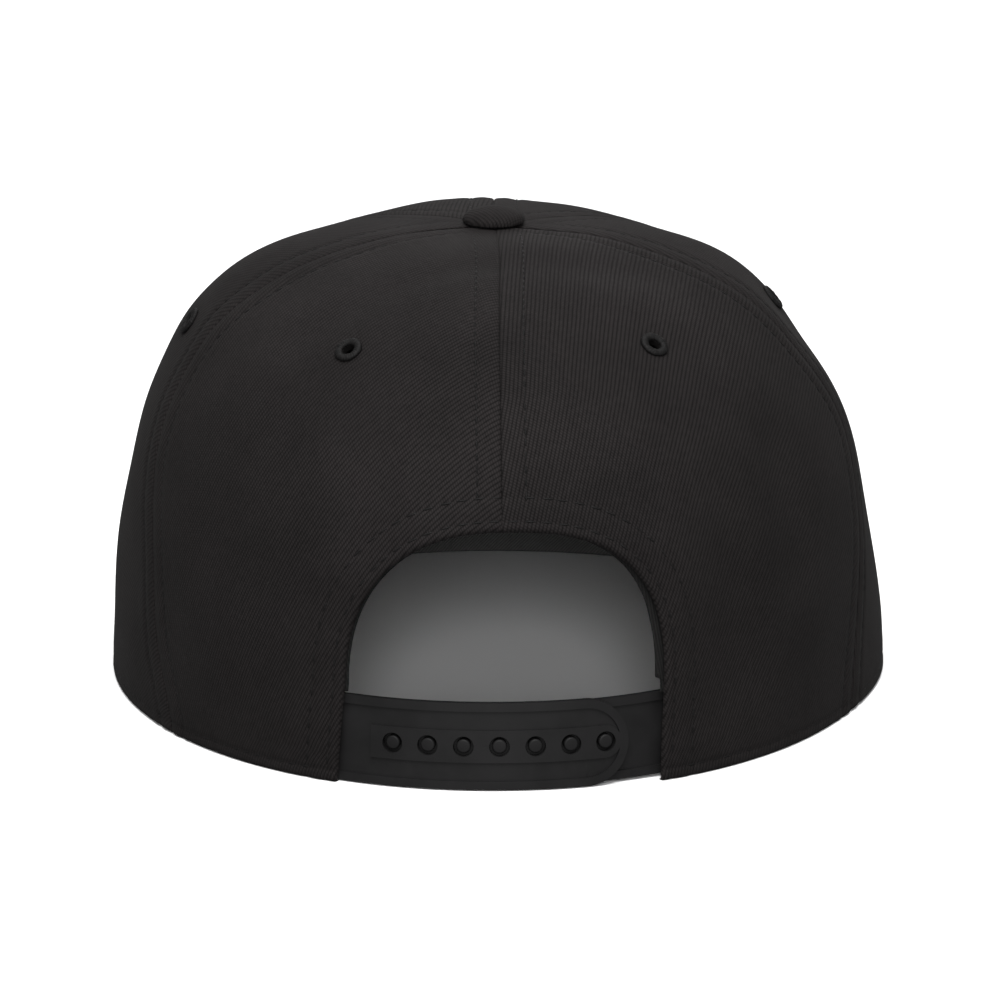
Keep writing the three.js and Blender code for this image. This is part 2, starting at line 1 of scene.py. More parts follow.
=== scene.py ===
"""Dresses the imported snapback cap: sewn twill panels, thread, button, peak, lining and plastic straps."""

import math

import bpy
import numpy as np
from mathutils import Matrix, Vector


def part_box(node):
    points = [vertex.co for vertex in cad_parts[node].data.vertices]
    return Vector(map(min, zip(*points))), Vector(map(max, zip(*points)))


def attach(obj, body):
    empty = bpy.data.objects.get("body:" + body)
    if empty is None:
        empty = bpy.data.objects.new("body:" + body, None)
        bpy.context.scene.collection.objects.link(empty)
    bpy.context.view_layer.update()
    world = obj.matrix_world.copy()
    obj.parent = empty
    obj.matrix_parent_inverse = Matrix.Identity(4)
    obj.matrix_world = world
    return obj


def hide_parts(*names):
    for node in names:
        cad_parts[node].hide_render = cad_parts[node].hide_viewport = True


bl_info = {
    "name": "Snapback cap dressing",
    "version": (1, 0, 0),
    "blender": (4, 5, 0),
    "location": "3D View > Sidebar > Cap",
    "description": "Makes the sewn panels, thread, button, peak, lining and straps of a snapback cap",
    "category": "Object",
}

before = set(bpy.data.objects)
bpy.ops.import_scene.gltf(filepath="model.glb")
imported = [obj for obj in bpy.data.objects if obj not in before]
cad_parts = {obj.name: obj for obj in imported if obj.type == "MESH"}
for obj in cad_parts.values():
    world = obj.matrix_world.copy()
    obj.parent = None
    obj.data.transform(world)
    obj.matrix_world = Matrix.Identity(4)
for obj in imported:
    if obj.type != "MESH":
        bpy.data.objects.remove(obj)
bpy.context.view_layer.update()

# Crown, in metres, as the part's source has it
HALF_WIDTH = 0.0882
BACK_LENGTH = 0.1023
FRONT_LENGTH = 0.094
OUTLINE_POWER = 2.05
CROWN_HEIGHT = 0.1037
TOP_SHIFT = 0.0006
CLOTH = 0.0016
GAP = 0.0003

# Azimuth, then reach, lean, shoulder and dome; 0 is the centre back and 90 the wearer's left
CROWN_ROWS = (
    (0, 1, 0.06, 2.9, 3),
    (60, 0.99, 0.04, 2.9, 2.9),
    (90, 1, 0.02, 3.5, 2.5),
    (120, 1, 0.07, 2.8, 2.55),
    (180, 1, 0.065, 2.95, 2.5),
    (240, 1, 0.08, 2.8, 2.55),
    (270, 1.01, 0.075, 3.5, 3.05),
    (300, 0.985, 0.06, 3.1, 3.05),
)
REACH, LEAN, SHOULDER, DOME = 1, 2, 3, 4

# Start azimuth and height, end azimuth and height, rise and spread; lengths are shares of CROWN_HEIGHT
FOLDS = (
    (-97, 0.66, -88, 0.8, -0.025, 0.135),
    (-95, 0.95, -75, 0.97, -0.01, 0.155),
    (-105, 0.42, -85, 0.42, -0.008, 0.155),
    (97, 0.8, 85, 0.9, 0.01, 0.135),
    (0, 1, 0, 1, -0.009, 0.155),
    (7, 0.98, 44, 0.86, -0.008, 0.06),
    (-14, 0.98, -53, 0.945, -0.007, 0.08),
    (-38, 0.56, -38, 0.2, -0.01, 0.08),
    (-54, 0.62, -53, 0.37, -0.008, 0.08),
)

# Lift, the share of the way from the hem to the button, then the seam's azimuth there
SEAMS = {
    "centre_back": ((0, -1), (0.5, -1), (0.75, -1.5), (1, -4)),
    "back_left": ((0, 55.5), (0.05, 61), (0.15, 64.5), (0.3, 71), (0.5, 73), (0.7, 70), (1, 68)),
    "back_right": ((0, -66), (0.05, -70.5), (0.15, -76), (0.3, -80), (0.5, -75), (0.7, -71.5), (1, -70)),
    "front_left": ((0, 112), (0.5, 117), (1, 118)),
    "front_right": ((0, -112), (0.5, -117), (1, -118)),
    "centre_front": ((0, 180), (1, 180)),
}

ARCH_CENTRE = -0.0019
ARCH_HALF = 0.0351
ARCH_TOP = 0.0563
ARCH_SHOULDER = 0.022
ARCH_LEFT_FLARE = 0.0019
ARCH_RIGHT_FLARE = -0.0007
ARCH_LEFT_POWER = 2.25
ARCH_RIGHT_POWER = 2.6

BUTTON_LOW, BUTTON_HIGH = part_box("button")
CROWN_AT = np.array(
    (
        (BUTTON_LOW.x + BUTTON_HIGH.x) / 2 - TOP_SHIFT,
        (BUTTON_LOW.y + BUTTON_HIGH.y) / 2,
        0.0,
    )
)
MM = 0.001
RING_RADIUS = 3.2 * MM
THREAD = 0.42 * MM
SEAM_PITCH = 2.9 * MM
ARCH_PITCH = 3.7 * MM


def along(rows, places, column=1, period=0):
    """Smooth curve through a column of table rows; period closes it into a ring."""
    x = np.array([row[0] for row in rows], float)
    y = np.array([row[column] for row in rows], float)
    places = np.asarray(places, float)
    if period:
        x = np.concatenate([x[-2:] - period, x, x[:3] + period])
        y = np.concatenate([y[-2:], y, y[:3]])
        places = np.mod(places, period)
    slope = np.gradient(y, x) if len(x) < 3 else np.empty(len(x))
    if len(x) > 2:
        slope[1:-1] = (y[2:] - y[:-2]) / (x[2:] - x[:-2])
        slope[0] = (y[1] - y[0]) / (x[1] - x[0])
        slope[-1] = (y[-1] - y[-2]) / (x[-1] - x[-2])
    i = np.clip(np.searchsorted(x, places, side="right") - 1, 0, len(x) - 2)
    width = x[i + 1] - x[i]
    s = np.clip((places - x[i]) / width, 0, 1)
    rise = s * s * (3 - 2 * s)
    out = s * (s - 1) ** 2 * width * slope[i]
    into = s * s * (s - 1) * width * slope[i + 1]
    return y[i] * (1 - rise) + y[i + 1] * rise + out + into


def crown_value(azimuth, column):
    return along(CROWN_ROWS, azimuth, column, 360)


def plain_point(azimuth, lift):
    """Point of the crown before its dents, about the crown's own centre."""
    azimuth, lift = np.broadcast_arrays(np.asarray(azimuth, float), np.asarray(lift, float))
    side = np.sin(np.radians(azimuth))
    back = np.cos(np.radians(azimuth))
    reach = crown_value(azimuth, REACH)
    length = np.where(back > 0, BACK_LENGTH, FRONT_LENGTH)
    x = np.sign(side) * np.abs(side) ** (2 / OUTLINE_POWER) * HALF_WIDTH * reach
    y = np.sign(back) * np.abs(back) ** (2 / OUTLINE_POWER) * length * reach
    turn = np.clip(lift, 0, 1) * math.pi / 2
    height = np.sin(turn) ** (2 / crown_value(azimuth, DOME))
    shoulder = np.maximum(np.cos(turn), 0) ** (2 / crown_value(azimuth, SHOULDER))
    share = shoulder * (1 - crown_value(azimuth, LEAN) * height)
    return np.stack([x * share + TOP_SHIFT * height**2, y * share, CROWN_HEIGHT * height], -1)


def lift_at_height(azimuth, height):
    return 2 / math.pi * np.arcsin(np.clip(height, 0, 1) ** (crown_value(azimuth, DOME) / 2))


def fold_lines():
    lines = []
    for azimuth, height, to_azimuth, to_height, rise, spread in FOLDS:
        start = plain_point(azimuth, lift_at_height(azimuth, height))
        end = plain_point(to_azimuth, lift_at_height(to_azimuth, to_height))
        lines.append((start, end, rise * CROWN_HEIGHT, spread * CROWN_HEIGHT))
    return lines


FOLD_LINES = fold_lines()
HEART = np.array((0, 0, 0.35 * CROWN_HEIGHT))


def unit(vectors):
    return vectors / np.maximum(np.linalg.norm(vectors, axis=-1, keepdims=True), 1e-12)


def travelled(points):
    """Length along a line up to each of its points."""
    steps = np.linalg.norm(np.diff(points, axis=0), axis=-1)
    return np.concatenate([[0], np.cumsum(steps)])


def outer_point(azimuth, lift):
    """Point of the crown's outer face, about the crown's own centre."""
    point = plain_point(azimuth, lift)
    rise = 0
    for start, end, height, spread in FOLD_LINES:
        way = end - start
        share = np.clip((point - start) @ way / max(way @ way, 1e-12), 0, 1)
        distance = np.linalg.norm(point - start - share[..., None] * way, axis=-1)
        rise = rise + height * np.exp(-((distance / spread) ** 2))
    return point + unit(point - HEART) * np.asarray(rise)[..., None]


def outward(azimuth, lift):
    azimuth, lift = np.broadcast_arrays(np.asarray(azimuth, float), np.asarray(lift, float))
    above, below = np.minimum(lift + 0.004, 0.9995), np.maximum(lift - 0.004, 0)
    up = outer_point(azimuth, above) - outer_point(azimuth, below)
    level = outer_point(azimuth + 0.5, lift) - outer_point(azimuth - 0.5, lift)
    return unit(np.cross(up, level))


def crown_point(azimuth, lift, inset=0.0):
    """Point below (positive inset) or above the crown's outer face; the hem stays in its plane."""
    point = outer_point(azimuth, lift) - outward(azimuth, lift) * np.asarray(inset)[..., None]
    point[..., 2] = np.where(np.asarray(lift) <= 0, 0, point[..., 2])
    return point


def band_point(azimuth, z, inset):
    """Point below the crown's outer face that lies at this height."""
    azimuth, z = np.broadcast_arrays(np.asarray(azimuth, float), np.asarray(z, float))
    height = z / CROWN_HEIGHT
    for _ in range(4):
        point = crown_point(azimuth, lift_at_height(azimuth, height), inset)
        height = np.where(height > 0, height + (z - point[..., 2]) / CROWN_HEIGHT, height)
    point[..., 2] = z
    return point


def azimuth_at_x(x, z, inset=0.0):
    """Azimuth, within the back half, of the point of the crown at this height with this X."""
    x, z = np.broadcast_arrays(np.asarray(x, float), np.asarray(z, float))
    low = np.full(x.shape, -89.0)
    high = np.full(x.shape, 89.0)
    for _ in range(30):
        middle = (low + high) / 2
        left = band_point(middle, z, inset)[..., 0] < x
        low = np.where(left, middle, low)
        high = np.where(left, high, middle)
    return (low + high) / 2


def seam_azimuth(seam, lift):
    return along(SEAMS[seam], lift)


def top_lift(azimuth):
    """Lift at which the panels stop under the button."""
    hem = plain_point(azimuth, 0)
    radius = np.hypot(hem[..., 0], hem[..., 1]) * (1 - crown_value(azimuth, LEAN))
    return 1 - 2 / math.pi * (RING_RADIUS / radius) ** (crown_value(azimuth, SHOULDER) / 2)


def arch_outline(steps=160):
    """X and Z of the arch's edge seen square on, from the wearer's left to the right."""
    turn = np.linspace(0, math.pi / 2, steps)
    sides = []
    sides_of = ((1, ARCH_LEFT_POWER, ARCH_LEFT_FLARE), (-1, ARCH_RIGHT_POWER, ARCH_RIGHT_FLARE))
    for side, power, flare in sides_of:
        straight = np.linspace(0, 1, 40, endpoint=False)
        x_low = ARCH_CENTRE + side * (ARCH_HALF + flare * (1 - straight))
        x = ARCH_CENTRE + side * ARCH_HALF * np.cos(turn) ** (2 / power)
        z = ARCH_SHOULDER + (ARCH_TOP - ARCH_SHOULDER) * np.sin(turn) ** (2 / power)
        line = np.stack([np.concatenate([x_low, x]), np.concatenate([straight * ARCH_SHOULDER, z])], -1)
        sides.append(line if side > 0 else line[::-1][1:])
    return np.concatenate(sides)


def even(points, count):
    """The same line with this many evenly spaced points."""
    travel = travelled(points)
    places = np.linspace(0, travel[-1], count)
    return np.stack([np.interp(places, travel, points[:, k]) for k in range(points.shape[1])], -1)


def nearest(points, line):
    """Distance from each point to a line of points, and how far along the line that is."""
    shape = points.shape[:-1]
    flat = points.reshape(-1, 3)
    start, way = line[:-1], np.diff(line, axis=0)
    lengths = np.linalg.norm(way, axis=-1)
    travel = np.concatenate([[0], np.cumsum(lengths)])
    best = np.empty(len(flat))
    place = np.empty(len(flat))
    for first in range(0, len(flat), 4000):
        part = flat[first : first + 4000]
        offset = part[:, None] - start[None]
        share = np.clip((offset * way).sum(-1) / np.maximum(lengths**2, 1e-18), 0, 1)
        distance = np.linalg.norm(offset - share[..., None] * way, axis=-1)
        pick = distance.argmin(1)
        rows = np.arange(len(part))
        best[first : first + 4000] = distance[rows, pick]
        place[first : first + 4000] = travel[pick] + share[rows, pick] * lengths[pick]
    return best.reshape(shape), place.reshape(shape)


def seam_line(seam, count=260):
    lift = np.linspace(0, 1, count) ** 1.2
    azimuth = seam_azimuth(seam, lift)
    return np.stack([azimuth, lift * top_lift(azimuth)], -1)


def on_crown(line, inset=0.0):
    return crown_point(line[:, 0], line[:, 1], inset)


def arch_line(count=300):
    """Azimuth and lift along the arch's edge, from the wearer's left to the right."""
    outline = even(arch_outline(), count)
    azimuth = azimuth_at_x(outline[:, 0], outline[:, 1])
    height = outline[:, 1] / CROWN_HEIGHT
    for _ in range(4):
        lift = lift_at_height(azimuth, height)
        height = height + (outline[:, 1] - outer_point(azimuth, lift)[:, 2]) / CROWN_HEIGHT
        height = np.maximum(height, 0)
    return np.stack([azimuth, lift_at_height(azimuth, height)], -1)


def beside(line, offset):
    """Azimuth and lift of the line on the crown that runs this far to one side of a line."""
    base = on_crown(line)
    tangent = unit(np.gradient(base, axis=0))
    aside = unit(np.cross(outward(line[:, 0], line[:, 1]), tangent))
    target = base + aside * offset
    azimuth, lift = line[:, 0].copy(), line[:, 1].copy()
    for _ in range(6):
        here = outer_point(azimuth, lift)
        level = (outer_point(azimuth + 0.2, lift) - here) / 0.2
        up_step = np.where(lift > 0.99, -0.002, 0.002)
        up = (outer_point(azimuth, lift + up_step) - here) / up_step[:, None]
        miss = target - here
        a, b, c = (level * level).sum(-1), (level * up).sum(-1), (up * up).sum(-1)
        d, e = (level * miss).sum(-1), (up * miss).sum(-1)
        whole = a * c - b * b
        azimuth = azimuth + np.clip((d * c - e * b) / whole, -8, 8)
        lift = np.clip(lift + np.clip((e * a - d * b) / whole, -0.1, 0.1), 0, 0.999)
    return np.stack([azimuth, lift], -1)


# Relief of the sewn cloth, in metres from a seam, the arch's edge or the hem
SEAM_DEPTH = 0.6 * MM
SEAM_ROLL = 1.0 * MM
STITCH_ROW = 5.3 * MM
ARCH_ROLL = 1.2 * MM
ARCH_ROWS = (2.3 * MM, 7.5 * MM)
HEM_ROLL = 1.0 * MM
HEM_ROW = 2.6 * MM
PANEL_THICKNESS = 1.2 * MM
EDGE_STEPS = np.array(
    (0, 0.12, 0.3, 0.5, 0.75, 1.0, 1.35, 1.75, 2.05, 2.35, 2.65)
    + (3.1, 3.7, 4.3, 4.8, 5.3, 5.8, 6.3, 6.9, 7.5, 8.1)
) * MM

# Direction, wavelength and height of the cloth's slow waves
WAVES = (
    ((0.8, 0.2, 0.5), 0.047, 0.16),
    ((-0.3, 0.4, 0.9), 0.036, 0.13),
    ((0.5, -0.7, 0.4), 0.029, 0.1),
    ((0.9, 0.3, -0.6), 0.021, 0.07),
    ((-0.6, 0.2, 0.3), 0.0155, 0.04),
)


def hump(distance, middle, spread):
    return np.exp(-(((distance - middle) / spread) ** 2))


def roll(distance, radius):
    """How far a rolled edge drops at this distance from it."""
    near = np.clip(distance, 0, radius)
    return radius - np.sqrt(np.maximum(radius**2 - (radius - near) ** 2, 0))


def seam_relief(distance, place):
    drop = SEAM_DEPTH * (roll(distance * ARCH_ROLL / SEAM_ROLL, ARCH_ROLL) / ARCH_ROLL)
    stitches = 0.5 + 0.5 * np.cos(2 * math.pi * place / SEAM_PITCH)
    row = hump(distance, STITCH_ROW, 0.6 * MM)
    pucker = hump(distance, STITCH_ROW, 1.6 * MM) * (stitches - 0.5) * 0.09 * MM
    return (
        -drop
        + 0.2 * MM * hump(distance, 2.7 * MM, 1.4 * MM)
        - row * (0.14 + 0.12 * stitches) * MM
        + pucker
        + 0.07 * MM * hump(distance, 7.3 * MM, 1.1 * MM)
    )


def arch_relief(distance, place):
    relief = -roll(distance, ARCH_ROLL) - 0.12 * MM * hump(distance, ARCH_ROWS[0], 0.5 * MM)
    stitches = 0.5 + 0.5 * np.cos(2 * math.pi * place / ARCH_PITCH)
    relief += 0.12 * MM * hump(distance, 5 * MM, 1.6 * MM)
    return relief - (0.1 + 0.12 * stitches) * MM * hump(distance, ARCH_ROWS[1], 0.6 * MM)


def hem_relief(distance, place):
    relief = -roll(distance, HEM_ROLL) - 0.2 * MM * hump(distance, HEM_ROW, 0.5 * MM)
    return relief + 0.05 * MM * np.sin(2 * math.pi * place / (9 * MM)) * hump(distance, 4 * MM, 2 * MM)


def slow_waves(points):
    """Gentle swells of the cloth, dying out towards the hem."""
    total = 0
    for k, (way, length, height) in enumerate(WAVES):
        phase = points @ (np.array(way) / np.linalg.norm(way)) * 2 * math.pi / length
        total = total + height * MM * np.sin(phase + 1.7 * k)
    return total * np.clip(points[..., 2] / (12 * MM), 0, 1)


def spacing(length, middle):
    """Places across a width in metres, as shares: close together at both edges."""
    length = np.asarray(length, float)[..., None]
    shrink = np.minimum(1, 0.42 * length / EDGE_STEPS[-1])
    near = EDGE_STEPS * shrink / length
    inner = np.linspace(0, 1, middle + 2)[1:-1]
    span = near[..., -1:] + (1 - 2 * near[..., -1:]) * inner
    return np.concatenate([near, span, 1 - near[..., ::-1]], -1)


def strip_panel(from_seam, to_seam):
    """Azimuth and lift over a panel between two seams, as a grid of columns by rows."""
    lift = spacing(np.array(1.4 * CROWN_HEIGHT), 74) ** 1.12
    turn = 360 if from_seam == "centre_front" else 0
    grid = []
    for rise in lift:
        start, end = seam_azimuth(from_seam, rise), seam_azimuth(to_seam, rise) + turn
        rough = np.linspace(start, end, 9)
        height = rise * top_lift(rough)
        line = outer_point(rough, height)
        width = np.linalg.norm(np.diff(line, axis=0), axis=-1).sum()
        azimuth = start + (end - start) * spacing(np.array(width), 34)
        grid.append(np.stack([azimuth, rise * top_lift(azimuth)], -1))
    return np.array(grid)


def to_plane(line):
    reach = 1 - line[..., 1]
    turn = np.radians(line[..., 0])
    return np.stack([reach * np.cos(turn), reach * np.sin(turn)], -1)


def from_plane(points):
    reach = np.hypot(points[..., 0], points[..., 1])
    return np.stack([np.degrees(np.arctan2(points[..., 1], points[..., 0])), 1 - reach], -1)


def arch_panel(side, outer_seam):
    """Azimuth and lift over a back panel, whose inner edge is the arch below and the centre seam above."""
    arch = arch_line()
    centre = seam_line("centre_back", 400)
    meet = np.abs(arch[:, 0] - seam_azimuth("centre_back", arch[:, 1])) + np.where(arch[:, 1] < 0.1, 90, 0)
    split = meet.argmin()
    arch_side = arch[: split + 1] if side > 0 else arch[split:][::-1]
    arch_side = arch_side.copy()
    arch_side[-1, 0] = seam_azimuth("centre_back", arch_side[-1, 1])
    centre = centre[centre[:, 1] > arch_side[-1, 1]]
    centre = np.concatenate([arch_side[-1:], centre])
    seam = seam_line(outer_seam)
    hem_azimuth = np.linspace(arch_side[0, 0], seam[0, 0], 80)
    hem = np.stack([hem_azimuth, np.zeros(80)], -1)

    def walk(line, count):
        """Evenly spaced by true length on the crown."""
        travel = travelled(on_crown(line))
        place = np.linspace(0, travel[-1], count)
        plane = to_plane(line)
        out = np.stack([np.interp(place, travel, plane[:, k]) for k in range(2)], -1)
        return out, travel[-1]

    fine = 400
    ab, ab_length = walk(arch_side, fine)
    dc, dc_length = walk(seam, fine)
    ad, ad_length = walk(hem, fine)
    bc, bc_length = walk(centre, fine)
    rows = spacing(np.array((ab_length + dc_length) / 2), 84)

    def pick(line, share):
        at = np.linspace(0, 1, fine)
        return np.stack([np.interp(share, at, line[:, k]) for k in range(2)], -1)

    grid = []
    for v in rows:
        u = spacing(np.array(ad_length + (bc_length - ad_length) * v), 52)[:, None]
        left, right = pick(ab, v), pick(dc, v)
        low, high = pick(ad, u[:, 0]), pick(bc, u[:, 0])
        corners = (1 - u) * ((1 - v) * ab[0] + v * ab[-1]) + u * ((1 - v) * dc[0] + v * dc[-1])
        grid.append((1 - v) * low + v * high + (1 - u) * left + u * right - corners)
    return from_plane(np.array(grid))


FLAT_STEP = 3.0
FLAT_LIFTS = 101


def flat_map():
    """Azimuths, and lengths up the crown along each of them, for the cloth's flat pattern."""
    azimuth = np.arange(-183.0, 364.0, FLAT_STEP)
    lift = np.linspace(0, 1, FLAT_LIFTS)
    points = outer_point(azimuth[:, None], lift[None])
    up = np.linalg.norm(np.diff(points, axis=1), axis=-1)
    return azimuth, np.concatenate([np.zeros((len(azimuth), 1)), np.cumsum(up, 1)], 1)


FLAT_AZIMUTH, FLAT_UP = flat_map()


def length_up(azimuth, lift):
    """Length over the crown from the hem up to a lift, read from the flat map."""
    i = (azimuth - FLAT_AZIMUTH[0]) / FLAT_STEP
    j = np.clip(lift, 0, 1) * (FLAT_LIFTS - 1)
    i0 = np.clip(i.astype(int), 0, len(FLAT_AZIMUTH) - 2)
    j0 = np.clip(j.astype(int), 0, FLAT_LIFTS - 2)
    a, b = i - i0, j - j0
    low = FLAT_UP[i0, j0] * (1 - a) + FLAT_UP[i0 + 1, j0] * a
    high = FLAT_UP[i0, j0 + 1] * (1 - a) + FLAT_UP[i0 + 1, j0 + 1] * a
    return low * (1 - b) + high * b


# How wide the flat pattern fans out at the hem and on the upper crown, as shares of the azimuth
FLAT_FAN = (0.74, 0.9)


def cloth_uv(azimuth, lift, middle):
    """Place in the panel's flat pattern, a fan about the button; U runs right as seen from outside."""
    reach = length_up(azimuth, np.ones_like(lift)) - length_up(azimuth, lift)
    low, high = FLAT_FAN
    turn = np.radians(azimuth - middle) * (low + (high - low) * np.clip(2 * lift, 0, 1))
    return np.stack([-reach * np.sin(turn), -reach * np.cos(turn)], -1)


def clear_selection():
    if bpy.context.mode != "OBJECT":
        bpy.ops.object.mode_set(mode="OBJECT")
    bpy.ops.object.select_all(action="DESELECT")


def take(piece):
    clear_selection()
    piece.select_set(True)
    bpy.context.view_layer.objects.active = piece
    return piece


def named(name):
    piece = bpy.context.object
    piece.name = name
    piece.data.name = name
    return piece


def settle(piece):
    """Puts the object's place into its mesh."""
    take(piece)
    bpy.ops.object.transform_apply(location=True, rotation=True, scale=True)
    return piece


def apply(piece, kind, **values):
    """Adds a modifier with these values and applies it."""
    take(piece)
    modifier = piece.modifiers.new(kind.title(), kind)
    for key, value in values.items():
        setattr(modifier, key, value)
    bpy.ops.object.modifier_apply(modifier=modifier.name)
    return piece


def place_points(piece, points):
    piece.data.vertices.foreach_set("co", np.asarray(points, np.float32).ravel())
    piece.data.update()


def read_points(mesh):
    points = np.empty(len(mesh.vertices) * 3, np.float32)
    mesh.vertices.foreach_get("co", points)
    return points.reshape(-1, 3).astype(float)


def clear_uv(piece):
    for layer in list(piece.data.uv_layers):
        piece.data.uv_layers.remove(layer)


def set_uv(piece, pairs):
    """Writes the flat pattern's place of each vertex as the piece's UV map."""
    mesh = piece.data
    layer = mesh.uv_layers.get("cloth") or mesh.uv_layers.new(name="cloth")
    corner = np.empty(len(mesh.loops), np.int32)
    mesh.loops.foreach_get("vertex_index", corner)
    layer.data.foreach_set("uv", np.asarray(pairs, np.float32)[corner].ravel())


def sheet(name, points, pairs=None):
    """A grid primitive moved to rows of columns of points, facing away from the crown's heart."""
    rows, columns = points.shape[:2]
    clear_selection()
    bpy.ops.mesh.primitive_grid_add(x_subdivisions=columns - 1, y_subdivisions=rows - 1, size=1)
    piece = named(name)
    clear_uv(piece)
    place_points(piece, points.reshape(-1, 3))
    if pairs is not None:
        set_uv(piece, pairs.reshape(-1, 2))
    heart = CROWN_AT + HEART
    middle = piece.data.polygons[(rows // 2) * (columns - 1) + columns // 2]
    if middle.normal.dot(middle.center - Vector(heart)) < 0:
        flip(piece)
    return piece


def flip(piece):
    take(piece)
    bpy.ops.object.mode_set(mode="EDIT")
    bpy.ops.mesh.select_all(action="SELECT")
    bpy.ops.mesh.flip_normals()
    bpy.ops.object.mode_set(mode="OBJECT")


def finish_piece(piece, material, slot, *nodes, angle=40):
    take(piece)
    bpy.ops.object.shade_smooth_by_angle(angle=math.radians(angle))
    piece.data.materials.clear()
    piece.data.materials.append(material)
    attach(piece, "root")
    if nodes:
        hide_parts(*nodes)
    return piece


def group(name, inputs, outputs):
    """An empty node group with these float, vector or colour sockets."""
    tree = bpy.data.node_groups.new(name, "ShaderNodeTree")
    kinds = {"f": "NodeSocketFloat", "v": "NodeSocketVector", "c": "NodeSocketColor"}
    for label, kind, default in inputs:
        socket = tree.interface.new_socket(name=label, in_out="INPUT", socket_type=kinds[kind])
        if default is not None:
            socket.default_value = default
    for label, kind in outputs:
        tree.interface.new_socket(name=label, in_out="OUTPUT", socket_type=kinds[kind])
    return tree, tree.nodes.new("NodeGroupInput"), tree.nodes.new("NodeGroupOutput")


def feed(tree, node, socket, value):
    """Links an output to an input, or sets the input's number."""
    if isinstance(value, bpy.types.NodeSocket):
        tree.links.new(value, node.inputs[socket])
    elif value is not None:
        node.inputs[socket].default_value = value


def sum_of(tree, operation, first, second=None):
    """One step of arithmetic, as a node."""
    node = tree.nodes.new("ShaderNodeMath")
    node.operation = operation
    for socket, value in enumerate((first, second)):
        feed(tree, node, socket, value)
    return node.outputs[0]


def noise(tree, vector, scale, detail=3.0, roughness=0.55):
    node = tree.nodes.new("ShaderNodeTexNoise")
    feed(tree, node, "Vector", vector)
    node.inputs["Scale"].default_value = scale
    node.inputs["Detail"].default_value = detail
    node.inputs["Roughness"].default_value = roughness
    return node.outputs["Fac"]


def span(tree, value, low, high, to_low, to_high):
    node = tree.nodes.new("ShaderNodeMapRange")
    for socket, number in enumerate((value, low, high, to_low, to_high)):
        feed(tree, node, socket, number)
    return node.outputs[0]


def mixed(tree, share, first, second):
    node = tree.nodes.new("ShaderNodeMix")
    node.data_type = "RGBA"
    feed(tree, node, 0, share)
    feed(tree, node, 6, first)
    feed(tree, node, 7, second)
    return node.outputs[2]


def twill_group():
    """Diagonal ribs of yarn, each a row of short slanting floats, with painted shade in the grooves between
    them.
    """
    inputs = (
        ("Vector", "v", None),
        ("Object", "v", None),
        ("Pitch", "f", TWILL_PITCH),
        ("Angle", "f", TWILL_ANGLE),
        ("Wander", "f", 0.16),
    )
    tree, start, end = group("twill weave", inputs, (("Height", "f"), ("Shade", "f")))
    parts = tree.nodes.new("ShaderNodeSeparateXYZ")
    feed(tree, parts, 0, start.outputs["Vector"])
    u, v = parts.outputs[0], parts.outputs[1]
    sine = sum_of(tree, "SINE", start.outputs["Angle"])
    cosine = sum_of(tree, "COSINE", start.outputs["Angle"])
    pitch = start.outputs["Pitch"]
    u_sine, v_sine = sum_of(tree, "MULTIPLY", u, sine), sum_of(tree, "MULTIPLY", v, sine)
    u_cosine, v_cosine = sum_of(tree, "MULTIPLY", u, cosine), sum_of(tree, "MULTIPLY", v, cosine)
    across = sum_of(tree, "SUBTRACT", u_sine, v_cosine)
    ahead = sum_of(tree, "ADD", u_cosine, v_sine)
    drift = sum_of(tree, "SUBTRACT", noise(tree, start.outputs["Vector"], 260.0, 2.0), 0.5)
    sway = sum_of(tree, "MULTIPLY", drift, start.outputs["Wander"])
    wale = sum_of(tree, "ADD", sum_of(tree, "DIVIDE", across, pitch), sway)
    inside = sum_of(tree, "FRACT", wale)
    edge = sum_of(tree, "SUBTRACT", sum_of(tree, "MULTIPLY", inside, 2.0), 1.0)
    ridge = sum_of(tree, "SUBTRACT", 1.0, sum_of(tree, "POWER", sum_of(tree, "ABSOLUTE", edge), 2.2))
    # Each rib's floats slant a little more than the rib and start half a float after its neighbour's
    turns = sum_of(tree, "DIVIDE", ahead, sum_of(tree, "MULTIPLY", pitch, 0.66))
    skew = sum_of(tree, "ADD", turns, sum_of(tree, "MULTIPLY", wale, 0.5))
    beat = sum_of(tree, "COSINE", sum_of(tree, "MULTIPLY", skew, 2 * math.pi))
    bead = sum_of(tree, "ADD", sum_of(tree, "MULTIPLY", beat, 0.5), 0.5)
    fuzz = noise(tree, start.outputs["Object"], 5200.0, 2.0, 0.7)
    lift = sum_of(tree, "MULTIPLY", ridge, sum_of(tree, "ADD", sum_of(tree, "MULTIPLY", bead, 0.5), 0.5))
    height = sum_of(tree, "ADD", lift, sum_of(tree, "MULTIPLY", fuzz, 0.35))
    tree.links.new(height, end.inputs["Height"])
    # Shade is painted shade: low in the grooves between ribs and floats, high on the ridges, plus random
    # yarn tone
    yarn = noise(tree, start.outputs["Object"], 900.0, 3.0, 0.65)
    shade = sum_of(tree, "ADD", sum_of(tree, "MULTIPLY", lift, 0.75), sum_of(tree, "MULTIPLY", yarn, 0.5))
    tree.links.new(shade, end.inputs["Shade"])
    return tree


def cloud_group():
    """Slow lighter and darker patches in dyed cloth, with specks of lint."""
    tree, start, end = group("dye clouds", (("Vector", "v", None),), (("Tone", "f"), ("Lint", "f")))
    slow = noise(tree, start.outputs["Vector"], 38.0, 4.0, 0.6)
    tree.links.new(span(tree, slow, 0.3, 0.7, 0.82, 1.16), end.inputs["Tone"])
    specks = noise(tree, start.outputs["Vector"], 1500.0, 1.0, 0.5)
    tree.links.new(span(tree, specks, 0.76, 0.84, 0.0, 1.0), end.inputs["Lint"])
    return tree


